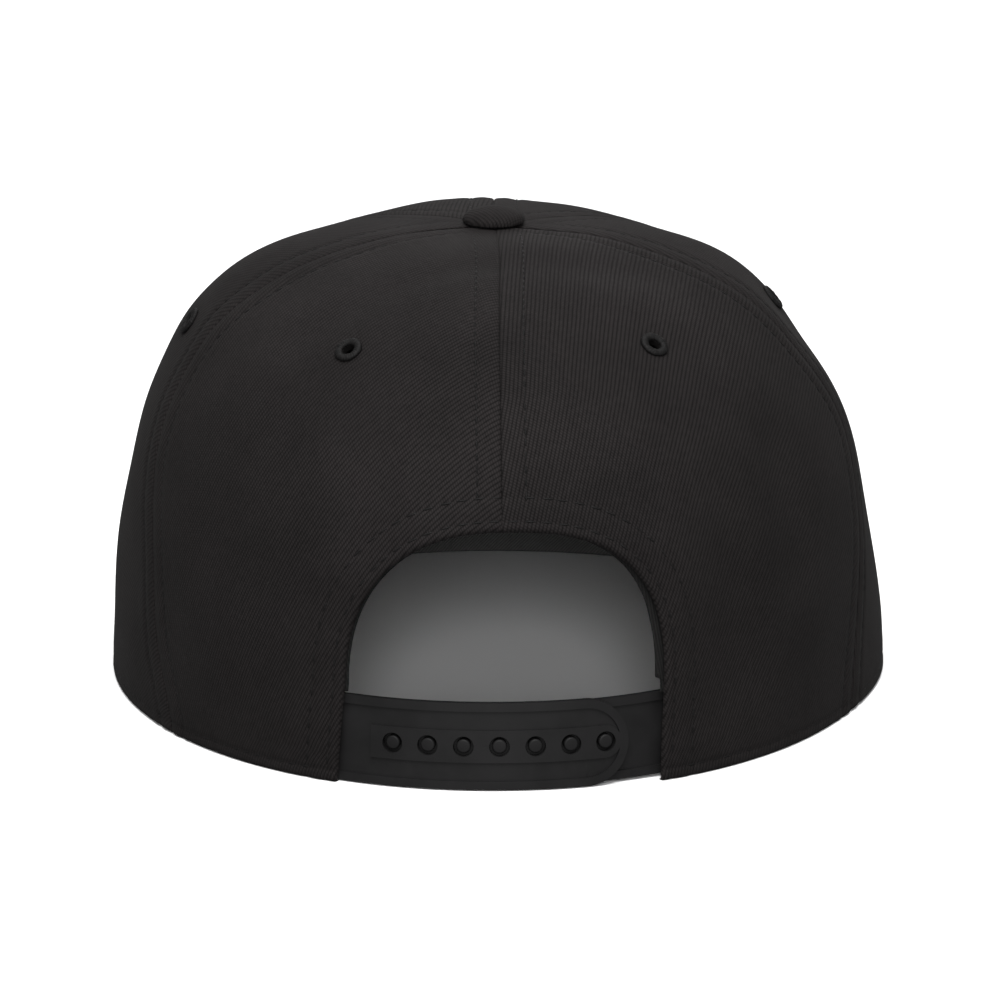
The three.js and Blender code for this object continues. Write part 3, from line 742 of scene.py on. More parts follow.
def place_group(tree, used, **values):
    node = tree.nodes.new("ShaderNodeGroup")
    node.node_tree = used
    for label, value in values.items():
        feed(tree, node, label, value)
    return node


def new_material(name):
    material = bpy.data.materials.new(name)
    material.use_nodes = True
    tree = material.node_tree
    shader = tree.nodes["Principled BSDF"]
    places = tree.nodes.new("ShaderNodeTexCoord")
    return material, tree, shader, places


def bump(tree, height, distance, strength=1.0):
    node = tree.nodes.new("ShaderNodeBump")
    feed(tree, node, "Height", height)
    node.inputs["Distance"].default_value = distance
    node.inputs["Strength"].default_value = strength
    return node.outputs["Normal"]


def cloth_material(name, weave, clouds, deep, high, relief, sheen, pitch, angle):
    """Woven black cloth that follows the piece's own flat pattern."""
    material, tree, shader, places = new_material(name)
    flat = tree.nodes.new("ShaderNodeUVMap")
    flat.uv_map = "cloth"
    ribs = place_group(tree, weave, Vector=flat.outputs[0], Object=places.outputs["Object"])
    ribs.inputs["Pitch"].default_value = pitch
    ribs.inputs["Angle"].default_value = angle
    tone = place_group(tree, clouds, Vector=places.outputs["Object"])
    # Painted shade: the weave's grooves take the deep tone and its ridges the high tone, times the random
    # dye clouds
    share = sum_of(tree, "MULTIPLY", ribs.outputs["Shade"], tone.outputs["Tone"])
    color = mixed(tree, span(tree, share, 0.1, 1.15, 0.0, 1.0), (*deep, 1), (*high, 1))
    lint = sum_of(tree, "MULTIPLY", tone.outputs["Lint"], 0.12)
    tree.links.new(mixed(tree, lint, color, (0.05, 0.05, 0.048, 1)), shader.inputs["Base Color"])
    tree.links.new(bump(tree, ribs.outputs["Height"], relief), shader.inputs["Normal"])
    tree.links.new(span(tree, share, 0.0, 1.2, 0.95, 0.78), shader.inputs["Roughness"])
    shader.inputs["Specular IOR Level"].default_value = 0.05
    shader.inputs["Sheen Weight"].default_value = sheen
    shader.inputs["Sheen Roughness"].default_value = 0.5
    shader.inputs["Sheen Tint"].default_value = (0.9, 0.88, 0.85, 1)
    return material


TWILL_PITCH = 0.95 * MM
TWILL_ANGLE = math.radians(57)
# Deep tone, painted as shade in the weave's grooves, and high tone of the ridges, relief, sheen, pitch and
# angle
TWILL = ((0.0008, 0.0007, 0.0007), (0.0112, 0.0098, 0.0098), 0.08 * MM, 0.004, TWILL_PITCH, TWILL_ANGLE)


def build_materials():
    weave = twill_group()
    clouds = cloud_group()
    made = {}
    made["twill"] = cloth_material("black_twill", weave, clouds, *TWILL)
    thread, tree, shader, places = new_material("black_thread_painted_darker")
    ply = noise(tree, places.outputs["Object"], 2600.0, 3.0, 0.6)
    strand = span(tree, ply, 0.3, 0.7, 0.0, 1.0)
    # Painted shade: the black thread is painted darker than the black cloth, standing in for the shadow in
    # the stitch grooves
    shade = mixed(tree, strand, (0.0009, 0.0009, 0.0009, 1), (0.0048, 0.0044, 0.0044, 1))
    tree.links.new(shade, shader.inputs["Base Color"])
    tree.links.new(bump(tree, ply, 0.06 * MM), shader.inputs["Normal"])
    tree.links.new(span(tree, ply, 0.2, 0.8, 0.75, 0.55), shader.inputs["Roughness"])
    shader.inputs["Specular IOR Level"].default_value = 0.08
    made["thread"] = thread
    cotton = (0.001, 0.001, 0.001), (0.009, 0.0088, 0.0086)
    # Painted light: the black cotton band is painted a lighter grey, standing in for the floor's light that
    # reaches it inside the crown
    band_cotton_painted_lighter = (0.03, 0.03, 0.0296), (0.1, 0.099, 0.097)
    made["sweatband"] = cloth_material(
        "black_cotton_band_painted_light", weave, clouds, *band_cotton_painted_lighter, 0.05 * MM, 0.004, 0.6 * MM, math.radians(45)
    )
    made["facing"] = cloth_material(
        "black_cotton_tape", weave, clouds, *cotton, 0.05 * MM, 0.004, 0.55 * MM, math.radians(80)
    )
    made["peak"] = cloth_material("black_peak_twill", weave, clouds, *TWILL)
    plastic, tree, shader, places = new_material("satin_black_plastic")
    grain = noise(tree, places.outputs["Object"], 2400.0, 2.0, 0.6)
    cloudy = noise(tree, places.outputs["Object"], 90.0, 3.0, 0.6)
    patch = span(tree, cloudy, 0.35, 0.65, 0.0, 1.0)
    shade = mixed(tree, patch, (0.004, 0.0039, 0.004, 1), (0.0058, 0.0056, 0.0058, 1))
    tree.links.new(shade, shader.inputs["Base Color"])
    tree.links.new(bump(tree, grain, 0.012 * MM, 0.8), shader.inputs["Normal"])
    scuffs = sum_of(tree, "ADD", sum_of(tree, "MULTIPLY", grain, 0.4), cloudy)
    tree.links.new(span(tree, scuffs, 0.4, 1.0, 0.48, 0.62), shader.inputs["Roughness"])
    shader.inputs["Specular IOR Level"].default_value = 0.1
    made["strap"] = plastic
    return made


class CapSettings(bpy.types.PropertyGroup):
    """Sizes that a user would change."""

    arch_stitch_pitch: bpy.props.FloatProperty(
        name="Arch stitch pitch",
        description="From one stitch round the arch to the next",
        default=ARCH_PITCH,
        unit="LENGTH",
    )
    stitch_pitch: bpy.props.FloatProperty(
        name="Stitch pitch",
        description="From one seam stitch to the next",
        default=SEAM_PITCH,
        unit="LENGTH",
    )
    thread: bpy.props.FloatProperty(
        name="Thread",
        description="Thickness of the sewing thread",
        default=THREAD,
        unit="LENGTH",
    )


EYELETS = (
    ("eyelet_back_left", 32, 0.578),
    ("eyelet_back_right", -35.5, 0.58),
    ("eyelet_side_left", 85, 0.53),
    ("eyelet_side_right", -92, 0.55),
    ("eyelet_front_left", 150, 0.6),
    ("eyelet_front_right", -150, 0.6),
)
EYELET_HOLE = 1.5 * MM
EYELET_RING = 2.32 * MM
EYELET_TUBE = 0.88 * MM

PANELS = (
    ("back_panel_left", "centre_back", "back_left", 30),
    ("side_panel_left", "back_left", "front_left", 91),
    ("front_panel_left", "front_left", "centre_front", 148),
    ("back_panel_right", "back_right", "centre_back", -34),
    ("side_panel_right", "front_right", "back_right", -95),
    ("front_panel_right", "centre_front", "front_right", 212),
)
MATERIALS = {}


def panel_of(eyelet):
    kind, part, side = eyelet.split("_")
    return f"{part}_panel_{side}"


class CAP_OT_panels(bpy.types.Operator):
    """Makes the six sewn crown panels with their seams, rolled hem and arch"""

    bl_idname = "cap.panels"
    bl_label = "Crown panels"

    def execute(self, context):
        arch = on_crown(arch_line())
        hem = on_crown(np.stack([np.linspace(-180, 360, 900), np.zeros(900)], -1))
        for name, from_seam, to_seam, middle in PANELS:
            is_back = name.startswith("back")
            if is_back:
                side = 1 if name.endswith("left") else -1
                grid = arch_panel(side, to_seam if side > 0 else from_seam)
            else:
                grid = strip_panel(from_seam, to_seam)
            azimuth, lift = grid[..., 0], grid[..., 1]
            points = outer_point(azimuth, lift)
            distance, place = nearest(points, on_crown(seam_line(from_seam)))
            other, other_place = nearest(points, on_crown(seam_line(to_seam)))
            closer = other < distance
            relief = seam_relief(np.where(closer, other, distance), np.where(closer, other_place, place))
            relief = relief * (1 - 0.6 * np.clip((lift - 0.8) / 0.15, 0, 1))
            hem_distance, hem_place = nearest(points, hem)
            if is_back:
                arch_distance, arch_place = nearest(points, arch)
                relief = relief * np.clip(1 - hump(arch_distance, 0, 5 * MM), 0.35, 1)
                relief = relief + arch_relief(arch_distance, arch_place)
                rolled = np.minimum(arch_distance, hem_distance) < ARCH_ROLL
                twice = rolled & (hem_distance < arch_distance)
                relief = np.where(twice, relief + roll(arch_distance, ARCH_ROLL), relief)
            relief = relief + hem_relief(hem_distance, hem_place) + slow_waves(points)
            for eyelet, eyelet_azimuth, eyelet_lift in EYELETS:
                seat = outer_point(eyelet_azimuth, eyelet_lift)
                relief = relief - 0.35 * MM * hump(np.linalg.norm(points - seat, axis=-1), 0, 4.2 * MM)
            points = points + outward(azimuth, lift) * relief[..., None]
            points[..., 2] = np.maximum(points[..., 2], 0)
            piece = sheet(name + "_cloth", points + CROWN_AT, cloth_uv(azimuth, lift, middle))
            apply(piece, "SOLIDIFY", thickness=PANEL_THICKNESS, offset=-1, use_even_offset=False)
            for eyelet, eyelet_azimuth, eyelet_lift in EYELETS:
                if panel_of(eyelet) == name:
                    pierce(piece, eyelet_azimuth, eyelet_lift)
            finish_piece(piece, MATERIALS["twill"], "twill", name, angle=60)
        return {"FINISHED"}


def frame_at(azimuth, lift):
    """Place on the cloth's face and the turn that stands +Z on it."""
    point = outer_point(azimuth, lift)
    normal = outward(azimuth, lift)
    point = point + normal * slow_waves(point)[..., None]
    turn = Vector(normal).to_track_quat("Z", "Y").to_matrix().to_4x4()
    return Matrix.Translation(Vector(point + CROWN_AT)) @ turn


def pierce(piece, azimuth, lift):
    """Cuts an eyelet's hole through a panel."""
    clear_selection()
    bpy.ops.mesh.primitive_cylinder_add(vertices=28, radius=EYELET_HOLE, depth=8 * MM)
    tool = named("eyelet_tool")
    tool.data.transform(frame_at(azimuth, lift))
    apply(piece, "BOOLEAN", operation="DIFFERENCE", object=tool, solver="EXACT")
    bpy.data.objects.remove(tool)


def stitch_shape():
    """Points and faces of one stitch, a unit long; lay_stitch dips its ends into the cloth."""
    clear_selection()
    bpy.ops.mesh.primitive_uv_sphere_add(segments=8, ring_count=7, radius=0.5, rotation=(0, math.pi / 2, 0))
    piece = settle(named("stitch"))
    points = read_points(piece.data)
    points[:, 0] = np.sign(points[:, 0]) * 0.5 * np.abs(2 * points[:, 0]) ** 0.75
    faces = [tuple(face.vertices) for face in piece.data.polygons]
    bpy.data.objects.remove(piece)
    return points, faces


STITCH_DIP = -0.9
STITCH_FLAT = 0.85


def lay_stitch(shape, middle, ways, length, width, thread):
    """Points of one stitch, given the ways ahead, aside and up."""
    ahead, aside, up = ways
    dip = STITCH_DIP * thread * (2 * shape[:, :1]) ** 4
    stitch = middle + shape[:, :1] * length * ahead + shape[:, 1:2] * width * aside
    return stitch + (shape[:, 2:3] * thread * STITCH_FLAT + dip) * up + CROWN_AT


def thread_piece(name, stitches, faces):
    """One mesh of all the stitches."""
    size = len(stitches[0])
    joined = [tuple(first * size + k for k in face) for first in range(len(stitches)) for face in faces]
    mesh = bpy.data.meshes.new(name)
    mesh.from_pydata(np.concatenate(stitches).tolist(), [], joined)
    piece = bpy.data.objects.new(name, mesh)
    bpy.context.scene.collection.objects.link(piece)
    finish_piece(piece, MATERIALS["thread"], "thread", angle=180)


def sew(name, rows, pitch, length, thread, inset, jitter):
    """Sews stitches along rows of azimuth and lift."""
    shape, faces = stitch_shape()
    stitches = []
    for row in rows:
        base = on_crown(row)
        normal = outward(row[:, 0], row[:, 1])
        base = base + normal * (slow_waves(base) - inset)[:, None]
        travel = travelled(base)
        count = int(travel[-1] / pitch)
        places = (np.arange(count) + 0.5) * pitch + jitter.normal(0, 0.05 * pitch, count)
        for place in places:
            ends = np.array((place - length / 2, place, place + length / 2))
            a, b, c = np.stack([np.interp(ends, travel, base[:, k]) for k in range(3)], -1)
            up = np.array([np.interp(place, travel, normal[:, k]) for k in range(3)])
            ahead = unit(c - a)
            aside = unit(np.cross(up, ahead))
            up = np.cross(ahead, aside)
            turn = jitter.normal(0, 0.035)
            ahead, aside = ahead + aside * turn, aside - ahead * turn
            width = thread * jitter.uniform(0.9, 1.1)
            stitches.append(lay_stitch(shape, b, (ahead, aside, up), length, width, thread))
    thread_piece(name, stitches, faces)


def clear_of(row, others, distance):
    """The part of a row that keeps this far from other lines."""
    points = on_crown(row)
    keep = np.ones(len(row), bool)
    for other in others:
        keep &= nearest(points, other)[0] > distance
    last = len(keep) - np.argmax(keep[::-1])
    first = np.argmax(keep)
    return row[first:last]


class CAP_OT_stitches(bpy.types.Operator):
    """Sews the rows beside the seams, round the arch and above the hem"""

    bl_idname = "cap.stitches"
    bl_label = "Stitches"

    def execute(self, context):
        settings = context.scene.cap_settings
        jitter = np.random.default_rng(7)
        arch = arch_line()
        lines = {seam: seam_line(seam, 200) for seam in SEAMS}
        for seam, line in lines.items():
            others = [on_crown(other) for key, other in lines.items() if key != seam]
            rows = []
            for side in (STITCH_ROW, -STITCH_ROW):
                row = clear_of(beside(line, side), others, 4.6 * MM)
                if seam == "centre_back":
                    distance = nearest(on_crown(row), on_crown(arch))[0]
                    above = on_crown(row)[:, 2] > ARCH_TOP
                    row = row[above & (distance > ARCH_ROWS[1] - 1 * MM)]
                else:
                    row = row[on_crown(row)[:, 2] > 1.6 * MM]
                rows.append(row)
            pitch, thread = settings.stitch_pitch, settings.thread
            sew(f"{seam}_stitches", rows, pitch, 2.35 * MM, thread, 0.12 * MM, jitter)
        rows = []
        for offset in ARCH_ROWS:
            row = beside(arch, offset)
            rows.append(row[on_crown(row)[:, 2] > 3 * MM])
        sew("arch_stitches", rows, settings.arch_stitch_pitch, 3.0 * MM, settings.thread, 0.1 * MM, jitter)
        ends = (arch[0, 0] + 1.5, arch[-1, 0] + 360 - 1.5)
        hem = np.stack([np.linspace(*ends, 700), np.zeros(700)], -1)
        row = beside(hem, -HEM_ROW)
        sew("hem_stitches", [row], 3.4 * MM, 2.7 * MM, settings.thread * 0.85, 0.22 * MM, jitter)
        return {"FINISHED"}


class CAP_OT_eyelets(bpy.types.Operator):
    """Makes the six embroidered eyelets of radial thread"""

    bl_idname = "cap.eyelets"
    bl_label = "Eyelets"

    def execute(self, context):
        threads = 30
        for name, azimuth, lift in EYELETS:
            clear_selection()
            bpy.ops.mesh.primitive_torus_add(
                major_segments=threads * 6,
                minor_segments=16,
                major_radius=EYELET_RING,
                minor_radius=EYELET_TUBE,
            )
            piece = named(name + "_thread")
            points = read_points(piece.data)
            turn = np.arctan2(points[:, 1], points[:, 0])
            radius = np.hypot(points[:, 0], points[:, 1])
            # Each wrap of thread is a round rib that leans a little as it crosses the ring
            lean = (radius - EYELET_RING) / MM * 0.07
            rib = np.abs(np.cos((turn + lean) * threads / 2)) ** 0.7
            tube = np.stack([radius - EYELET_RING, points[:, 2]], -1)
            reach = np.linalg.norm(tube, axis=-1)
            wobble = 1 + 0.05 * np.sin(5 * turn + 1) + 0.04 * np.sin(11 * turn)
            grown = tube / reach[:, None] * (reach * wobble + (rib - 0.6) * 0.13 * MM)[:, None]
            points[:, 0] = (EYELET_RING + grown[:, 0]) * np.cos(turn)
            points[:, 1] = (EYELET_RING + grown[:, 0]) * np.sin(turn)
            points[:, 2] = grown[:, 1] * 0.72 + 0.12 * MM
            place_points(piece, points)
            piece.data.transform(frame_at(azimuth, lift))
            finish_piece(piece, MATERIALS["thread"], "thread", name, angle=60)
        return {"FINISHED"}


BUTTON_HEIGHT = 3.7 * MM


class CAP_OT_button(bpy.types.Operator):
    """Makes the cloth-covered button on top"""

    bl_idname = "cap.button"
    bl_label = "Button"

    def execute(self, context):
        low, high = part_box("button")
        middle = (low + high) / 2
        radius = (high.x - low.x) / 2
        seat = high.z - BUTTON_HEIGHT
        clear_selection()
        bpy.ops.mesh.primitive_uv_sphere_add(segments=72, ring_count=40, radius=1)
        piece = named("button_cloth")
        points = read_points(piece.data)
        turn = np.arctan2(points[:, 1], points[:, 0])
        flat = np.hypot(points[:, 0], points[:, 1])
        rise = points[:, 2]
        gathers = 0.012 * np.cos(9 * turn + 0.6) + 0.008 * np.cos(17 * turn)
        grown = np.where(rise > -0.35, flat * (1 + gathers * hump(rise, -0.1, 0.5)), flat * 0.97)
        height = np.where(rise > 0, np.maximum(rise, 0) ** 0.85 * 3.1 + 0.6, 0.6 + rise * 1.1) * MM
        placed = np.stack([grown * radius * np.cos(turn), grown * radius * np.sin(turn), height + seat], -1)
        placed[:, 0] += middle.x
        placed[:, 1] += middle.y
        place_points(piece, placed)
        clear_uv(piece)
        stretch = 1 + 0.25 * (1 - np.maximum(rise, 0))
        pairs = np.stack([-grown * np.cos(turn), grown * np.sin(turn)], -1) * stretch[:, None] * radius
        set_uv(piece, pairs)
        finish_piece(piece, MATERIALS["twill"], "twill", "button", angle=80)
        return {"FINISHED"}


STRAP_HEIGHT = 19.2 * MM
STRAP_LIFT = 0.3 * MM
STRAP_THICKNESS = 1.3 * MM
STRAP_RELIEF = 0.45 * MM
STRAP_RIM = 1.9 * MM
STRAP_HIDDEN = 44 * MM
HOLE_COUNT = 7
HOLE_PITCH = 7.85 * MM
HOLE_RADIUS = 2.25 * MM
HOLE_CENTRE = -0.7 * MM
HOLE_BAND = 3.6 * MM
HOLE_BAND_START = 5 * MM
STRAP_TIP = 5.3 * MM
PEG_RADIUS = 1.55 * MM
INNER_HEIGHT = 18.2 * MM
INNER_LIFT = 0.4 * MM
INNER_TILT = 0.01
UNDER_CLOTH = CLOTH + GAP
UNDER_OUTER = UNDER_CLOTH + STRAP_THICKNESS + GAP
UNDER_STRAPS = UNDER_OUTER + STRAP_THICKNESS + GAP
MID_STRAP = STRAP_LIFT + STRAP_HEIGHT / 2
HOLE_PLACES = [HOLE_CENTRE + (i - (HOLE_COUNT - 1) / 2) * HOLE_PITCH for i in range(HOLE_COUNT)]


def block(low, high):
    """A box primitive between two corners, given as length, depth and height."""
    clear_selection()
    middle = (Vector(low) + Vector(high)) / 2
    bpy.ops.mesh.primitive_cube_add(size=1, location=middle)
    bpy.context.object.dimensions = Vector(high) - Vector(low)
    return settle(bpy.context.object)


def rod(place, radius, low, high, sides=64):
    """A round bar across the strap, from one depth to another."""
    clear_selection()
    middle = (place[0], (low + high) / 2, place[1])
    bpy.ops.mesh.primitive_cylinder_add(
        vertices=sides, radius=radius, depth=high - low, location=middle, rotation=(math.pi / 2, 0, 0)
    )
    return settle(bpy.context.object)


def round_edges(piece, width, segments, angle):
    limit = math.radians(angle)
    apply(piece, "BEVEL", width=width, segments=segments, limit_method="ANGLE", angle_limit=limit)


def join_or_cut(piece, tool, operation):
    apply(piece, "BOOLEAN", operation=operation, object=tool, solver="EXACT")
    bpy.data.objects.remove(tool)
    return piece


def tongue(fixed, free, middle, half, low, high, square=False):
    """A flat strip with a round end at free and a square end at fixed."""
    way = 1 if free > fixed else -1
    centre = free - way * half
    piece = block((min(fixed, centre), low, middle - half), (max(fixed, centre), high, middle + half))
    return piece if square else join_or_cut(piece, rod((centre, middle), half, low, high), "UNION")


def strap_path(inset):
    """Azimuth against length along a strap, with length 0 at X = 0."""
    azimuth = np.linspace(-45, 45, 181)
    points = band_point(azimuth, np.full(181, MID_STRAP), inset)
    travel = travelled(points)
    travel = travel - np.interp(0, points[:, 0], travel)
    return travel, azimuth


def wrap(piece, inset, tilt=0.0):
    """Slices a flat strap across every 1.5 mm, rounds its edges off and lays it round the crown."""
    low, high = -STRAP_HIDDEN - 1 * MM, STRAP_HIDDEN + 1 * MM
    round_edges(piece, 0.36 * MM, 4, 50)
    bpy.ops.object.mode_set(mode="EDIT")
    for place in np.arange(low, high, 1.5 * MM):
        bpy.ops.mesh.select_all(action="SELECT")
        bpy.ops.mesh.bisect(plane_co=(place, 0, 0), plane_no=(1, 0, 0))
    bpy.ops.mesh.select_all(action="SELECT")
    bpy.ops.mesh.quads_convert_to_tris(quad_method="BEAUTY", ngon_method="BEAUTY")
    bpy.ops.object.mode_set(mode="OBJECT")
    points = read_points(piece.data)
    travel, azimuth = strap_path(inset)
    z = points[:, 2] + tilt * np.maximum(0, -points[:, 0])
    sag = 0.12 * MM * np.sin(points[:, 0] / (17 * MM))
    around = np.interp(points[:, 0], travel, azimuth)
    base = band_point(around, np.maximum(z, 0), inset)
    normal = outward(around, lift_at_height(around, np.maximum(z, 0) / CROWN_HEIGHT))
    normal[:, 2] = 0
    placed = base + unit(normal) * (points[:, 1] + sag)[:, None]
    placed[:, 2] = z
    placed += CROWN_AT
    place_points(piece, placed)
    return piece


class CAP_OT_straps(bpy.types.Operator):
    """Moulds the two plastic straps, one with holes and one with pegs"""

    bl_idname = "cap.straps"
    bl_label = "Straps"

    def execute(self, context):
        first, last = max(HOLE_PLACES), min(HOLE_PLACES)
        free = last - STRAP_TIP
        free_centre = free + STRAP_HEIGHT / 2
        deep = -STRAP_THICKNESS
        over = 2 * MM
        # The strap with holes: a plate, its middle sunk between rim and band
        piece = tongue(STRAP_HIDDEN, free, MID_STRAP, STRAP_HEIGHT / 2, deep, 0)
        half = STRAP_HEIGHT / 2 - STRAP_RIM
        pocket = tongue(STRAP_HIDDEN + over, free_centre - half, MID_STRAP, half, -STRAP_RELIEF, over)
        band = tongue(first + HOLE_BAND_START, last - HOLE_BAND, MID_STRAP, HOLE_BAND, -over, over + MM)
        pocket = join_or_cut(pocket, band, "DIFFERENCE")
        piece = join_or_cut(piece, pocket, "DIFFERENCE")
        for place in HOLE_PLACES:
            hole = rod((place, MID_STRAP), HOLE_RADIUS, -2 * over, 2 * over, 40)
            piece = join_or_cut(piece, hole, "DIFFERENCE")
        piece.name = "strap_with_holes_moulding"
        wrap(piece, UNDER_CLOTH)
        finish_piece(piece, MATERIALS["strap"], "strap", "strap_with_holes", angle=35)
        # The strap with pegs, its round end hidden behind the other
        free = first + STRAP_TIP + 1 * MM
        middle = INNER_LIFT + INNER_HEIGHT / 2
        half = INNER_HEIGHT / 2
        piece = tongue(-STRAP_HIDDEN, free, middle, half, deep, 0)
        inner = half - STRAP_RIM
        pocket = tongue(-STRAP_HIDDEN - over, free - STRAP_RIM, middle, inner, -STRAP_RELIEF, over)
        piece = join_or_cut(piece, pocket, "DIFFERENCE")
        piece.name = "strap_with_pegs_moulding"
        wrap(piece, UNDER_OUTER, INNER_TILT)
        pegs = []
        for place in HOLE_PLACES:
            low, high = -2 * STRAP_RELIEF, STRAP_THICKNESS + GAP - 0.15 * MM
            peg = rod((place, MID_STRAP), PEG_RADIUS, low, high, 32)
            round_edges(peg, 0.4 * MM, 4, 50)
            wrap_peg(peg, place)
            pegs.append(peg)
        take(piece)
        for peg in pegs:
            peg.select_set(True)
        bpy.ops.object.join()
        finish_piece(piece, MATERIALS["strap"], "strap", "strap_with_pegs", angle=35)
        return {"FINISHED"}


def wrap_peg(peg, place):
    """Lays a straight peg on the inner strap, square to it."""
    around = np.interp(place, *strap_path(UNDER_CLOTH))
    base = band_point(np.array(around), np.array(MID_STRAP), UNDER_OUTER)
    normal = outward(around, lift_at_height(np.array(around), MID_STRAP / CROWN_HEIGHT))
    normal[2] = 0
    turn = Vector(unit(normal)).to_track_quat("Y", "Z").to_matrix().to_4x4()
    shift = Matrix.Translation((-place, 0, -MID_STRAP))
    peg.data.transform(Matrix.Translation(Vector(base + CROWN_AT)) @ turn @ shift)


SWEATBAND_HEIGHT = 36.5 * MM
SWEATBAND_THICKNESS = 1.2 * MM
SWEATBAND_LIFT = 0.5 * MM
SWEATBAND_END = 38.5 * MM
FACING_WIDTH = 10 * MM
FACING_LOW = 20 * MM


class CAP_OT_lining(bpy.types.Operator):
    """Makes the sweatband, the facing inside the arch and the tapes inside the seams"""

    bl_idname = "cap.lining"
    bl_label = "Lining"

    def execute(self, context):
        start = azimuth_at_x(ARCH_CENTRE + SWEATBAND_END, MID_STRAP, UNDER_STRAPS)
        end = azimuth_at_x(ARCH_CENTRE - SWEATBAND_END, MID_STRAP, UNDER_STRAPS) + 360
        strap_end = azimuth_at_x(STRAP_HIDDEN, MID_STRAP, UNDER_CLOTH) + 4
        azimuth = np.linspace(start, end, 420)
        aside = np.minimum(azimuth, 360 - azimuth)
        away = np.clip((aside - strap_end) / 14, 0, 1)
        away = away * away * (3 - 2 * away)
        depth = UNDER_STRAPS + (UNDER_CLOTH + 0.6 * MM - UNDER_STRAPS) * away
        parts = (np.linspace(0, 0.1, 6), np.linspace(0.13, 0.84, 16), np.linspace(0.86, 1, 8))
        share = np.concatenate(parts)
        z = SWEATBAND_LIFT + SWEATBAND_HEIGHT * share
        rows = []
        for height, part in zip(z, share):
            fold = 0.35 * MM * (hump(part, 1, 0.05) + hump(part, 0, 0.05))
            wave = 0.25 * MM * np.sin(azimuth * 0.31) * part * (1 - part) * 4
            stitched = 0.3 * MM * hump(part, 0.9, 0.03)
            rows.append(band_point(azimuth, np.full_like(azimuth, height), depth + fold + wave - stitched))
        points = np.array(rows)
        pairs = np.stack(np.broadcast_arrays(travelled(points[10])[None], z[:, None]), -1)
        piece = sheet("sweatband_cloth", points + CROWN_AT, pairs)
        apply(piece, "SOLIDIFY", thickness=SWEATBAND_THICKNESS, offset=-1)
        round_edges(piece, 0.4 * MM, 2, 60)
        finish_piece(piece, MATERIALS["sweatband"], "sweatband", "sweatband", angle=60)
        self.facing()
        self.tapes()
        return {"FINISHED"}

    def facing(self):
        """The folded strip whose edge shows inside the arch."""
        outline = even(arch_outline(), 1200)
        tangent = unit(np.gradient(outline, axis=0))
        normal = np.stack([-tangent[:, 1], tangent[:, 0]], -1)
        normal *= np.sign((normal * (outline - np.array((ARCH_CENTRE, 0.02)))).sum(-1, keepdims=True))
        lean = np.arctan2(normal[:, 1], normal[:, 0])
        show = np.interp(lean, (0.2, 1.2, 1.9, 2.9), (1.1 * MM, 0.6 * MM, 0.7 * MM, 2.3 * MM))
        keep = outline[:, 1] > FACING_LOW - 2 * MM
        outline, normal, show = outline[keep][::6], normal[keep][::6], show[keep][::6]
        share = np.array((0, 0.02, 0.05, 0.1, 0.18, 0.3, 0.5, 0.7, 0.9, 1))
        offset = -show[:, None] + (FACING_WIDTH + show[:, None]) * share
        place = outline[:, None] + normal[:, None] * offset[..., None]
        place[..., 1] = np.maximum(place[..., 1], FACING_LOW)
        soft = 0.4 * MM * hump(share * 11, 0, 0.35)
        azimuth = azimuth_at_x(place[..., 0], place[..., 1], UNDER_CLOTH)
        points = band_point(azimuth, place[..., 1], UNDER_CLOTH + np.broadcast_to(soft, azimuth.shape))
        pairs = np.stack([place[..., 0], place[..., 1]], -1)
        piece = sheet("arch_facing_cloth", points + CROWN_AT, pairs)
        apply(piece, "SOLIDIFY", thickness=0.9 * MM, offset=-1)
        round_edges(piece, 0.3 * MM, 2, 60)
        finish_piece(piece, MATERIALS["facing"], "facing", "arch_facing", angle=60)

    def tapes(self):
        """Bound tapes that cover the seams inside, running up to under the button."""
        half = 6 * MM
        across = np.linspace(-1, 1, 13)
        for seam in SEAMS:
            line = seam_line(seam, 90)[:-4]
            low = ARCH_TOP + 4 * MM if seam == "centre_back" else 4 * MM
            line = line[on_crown(line)[:, 2] > low]
            rows = []
            for part in across:
                row = beside(line, part * half) if part else line
                lumps = 0.35 * MM * hump(part, 0, 0.3) - 0.2 * MM * hump(abs(part), 0.8, 0.1)
                rows.append(on_crown(row, CLOTH + 0.15 * MM + lumps))
            points = np.array(rows)
            pairs = np.stack(np.broadcast_arrays(travelled(points[6])[None], (across * half)[:, None]), -1)
            piece = sheet(f"{seam}_tape", points + CROWN_AT, pairs)
            apply(piece, "SOLIDIFY", thickness=0.35 * MM, offset=-1)
            finish_piece(piece, MATERIALS["facing"], "facing", angle=60)


PEAK_REACH = 69 * MM
PEAK_FLARE = 2.5 * MM
PEAK_THICKNESS = 3.2 * MM
PEAK_POWER = 2.8
PEAK_CORNER = 109
PEAK_TUCK = 0.8 * MM
PEAK_ROLL = 1.55 * MM
PEAK_ROWS = 8
PEAK_ROW_GAP = 6.4 * MM
PEAK_ROW_START = 3.9 * MM
PEAK_PITCH = 3.0 * MM
PEAK_HEART = np.array((0, -0.06))
PEAK_OFFSETS = [PEAK_ROW_START + k * PEAK_ROW_GAP for k in range(PEAK_ROWS)]


def peak_lines(count=301):
    """The peak's outer edge and the line beside the crown, in X and Y, from left to right."""
    corners = crown_point(np.array((PEAK_CORNER, 360 - PEAK_CORNER), float), np.zeros(2), -GAP)
    turn = np.linspace(math.pi / 2, -math.pi / 2, 4 * count)
    corner = np.where(turn[:, None] >= 0, corners[0], corners[1])
    across = np.abs(np.sin(turn)) ** (2 / PEAK_POWER)
    ahead = np.abs(np.cos(turn)) ** (2 / PEAK_POWER)
    half = corner[:, 0] + np.sign(corner[:, 0]) * PEAK_FLARE
    depth = PEAK_REACH + FRONT_LENGTH + corner[:, 1]
    outer = even(np.stack([across * half, corner[:, 1] - ahead * depth], -1), count)
    azimuth = np.linspace(PEAK_CORNER, 360 - PEAK_CORNER, count)
    inner = crown_point(azimuth, np.zeros(count), PEAK_TUCK)[:, :2]
    return outer, inner


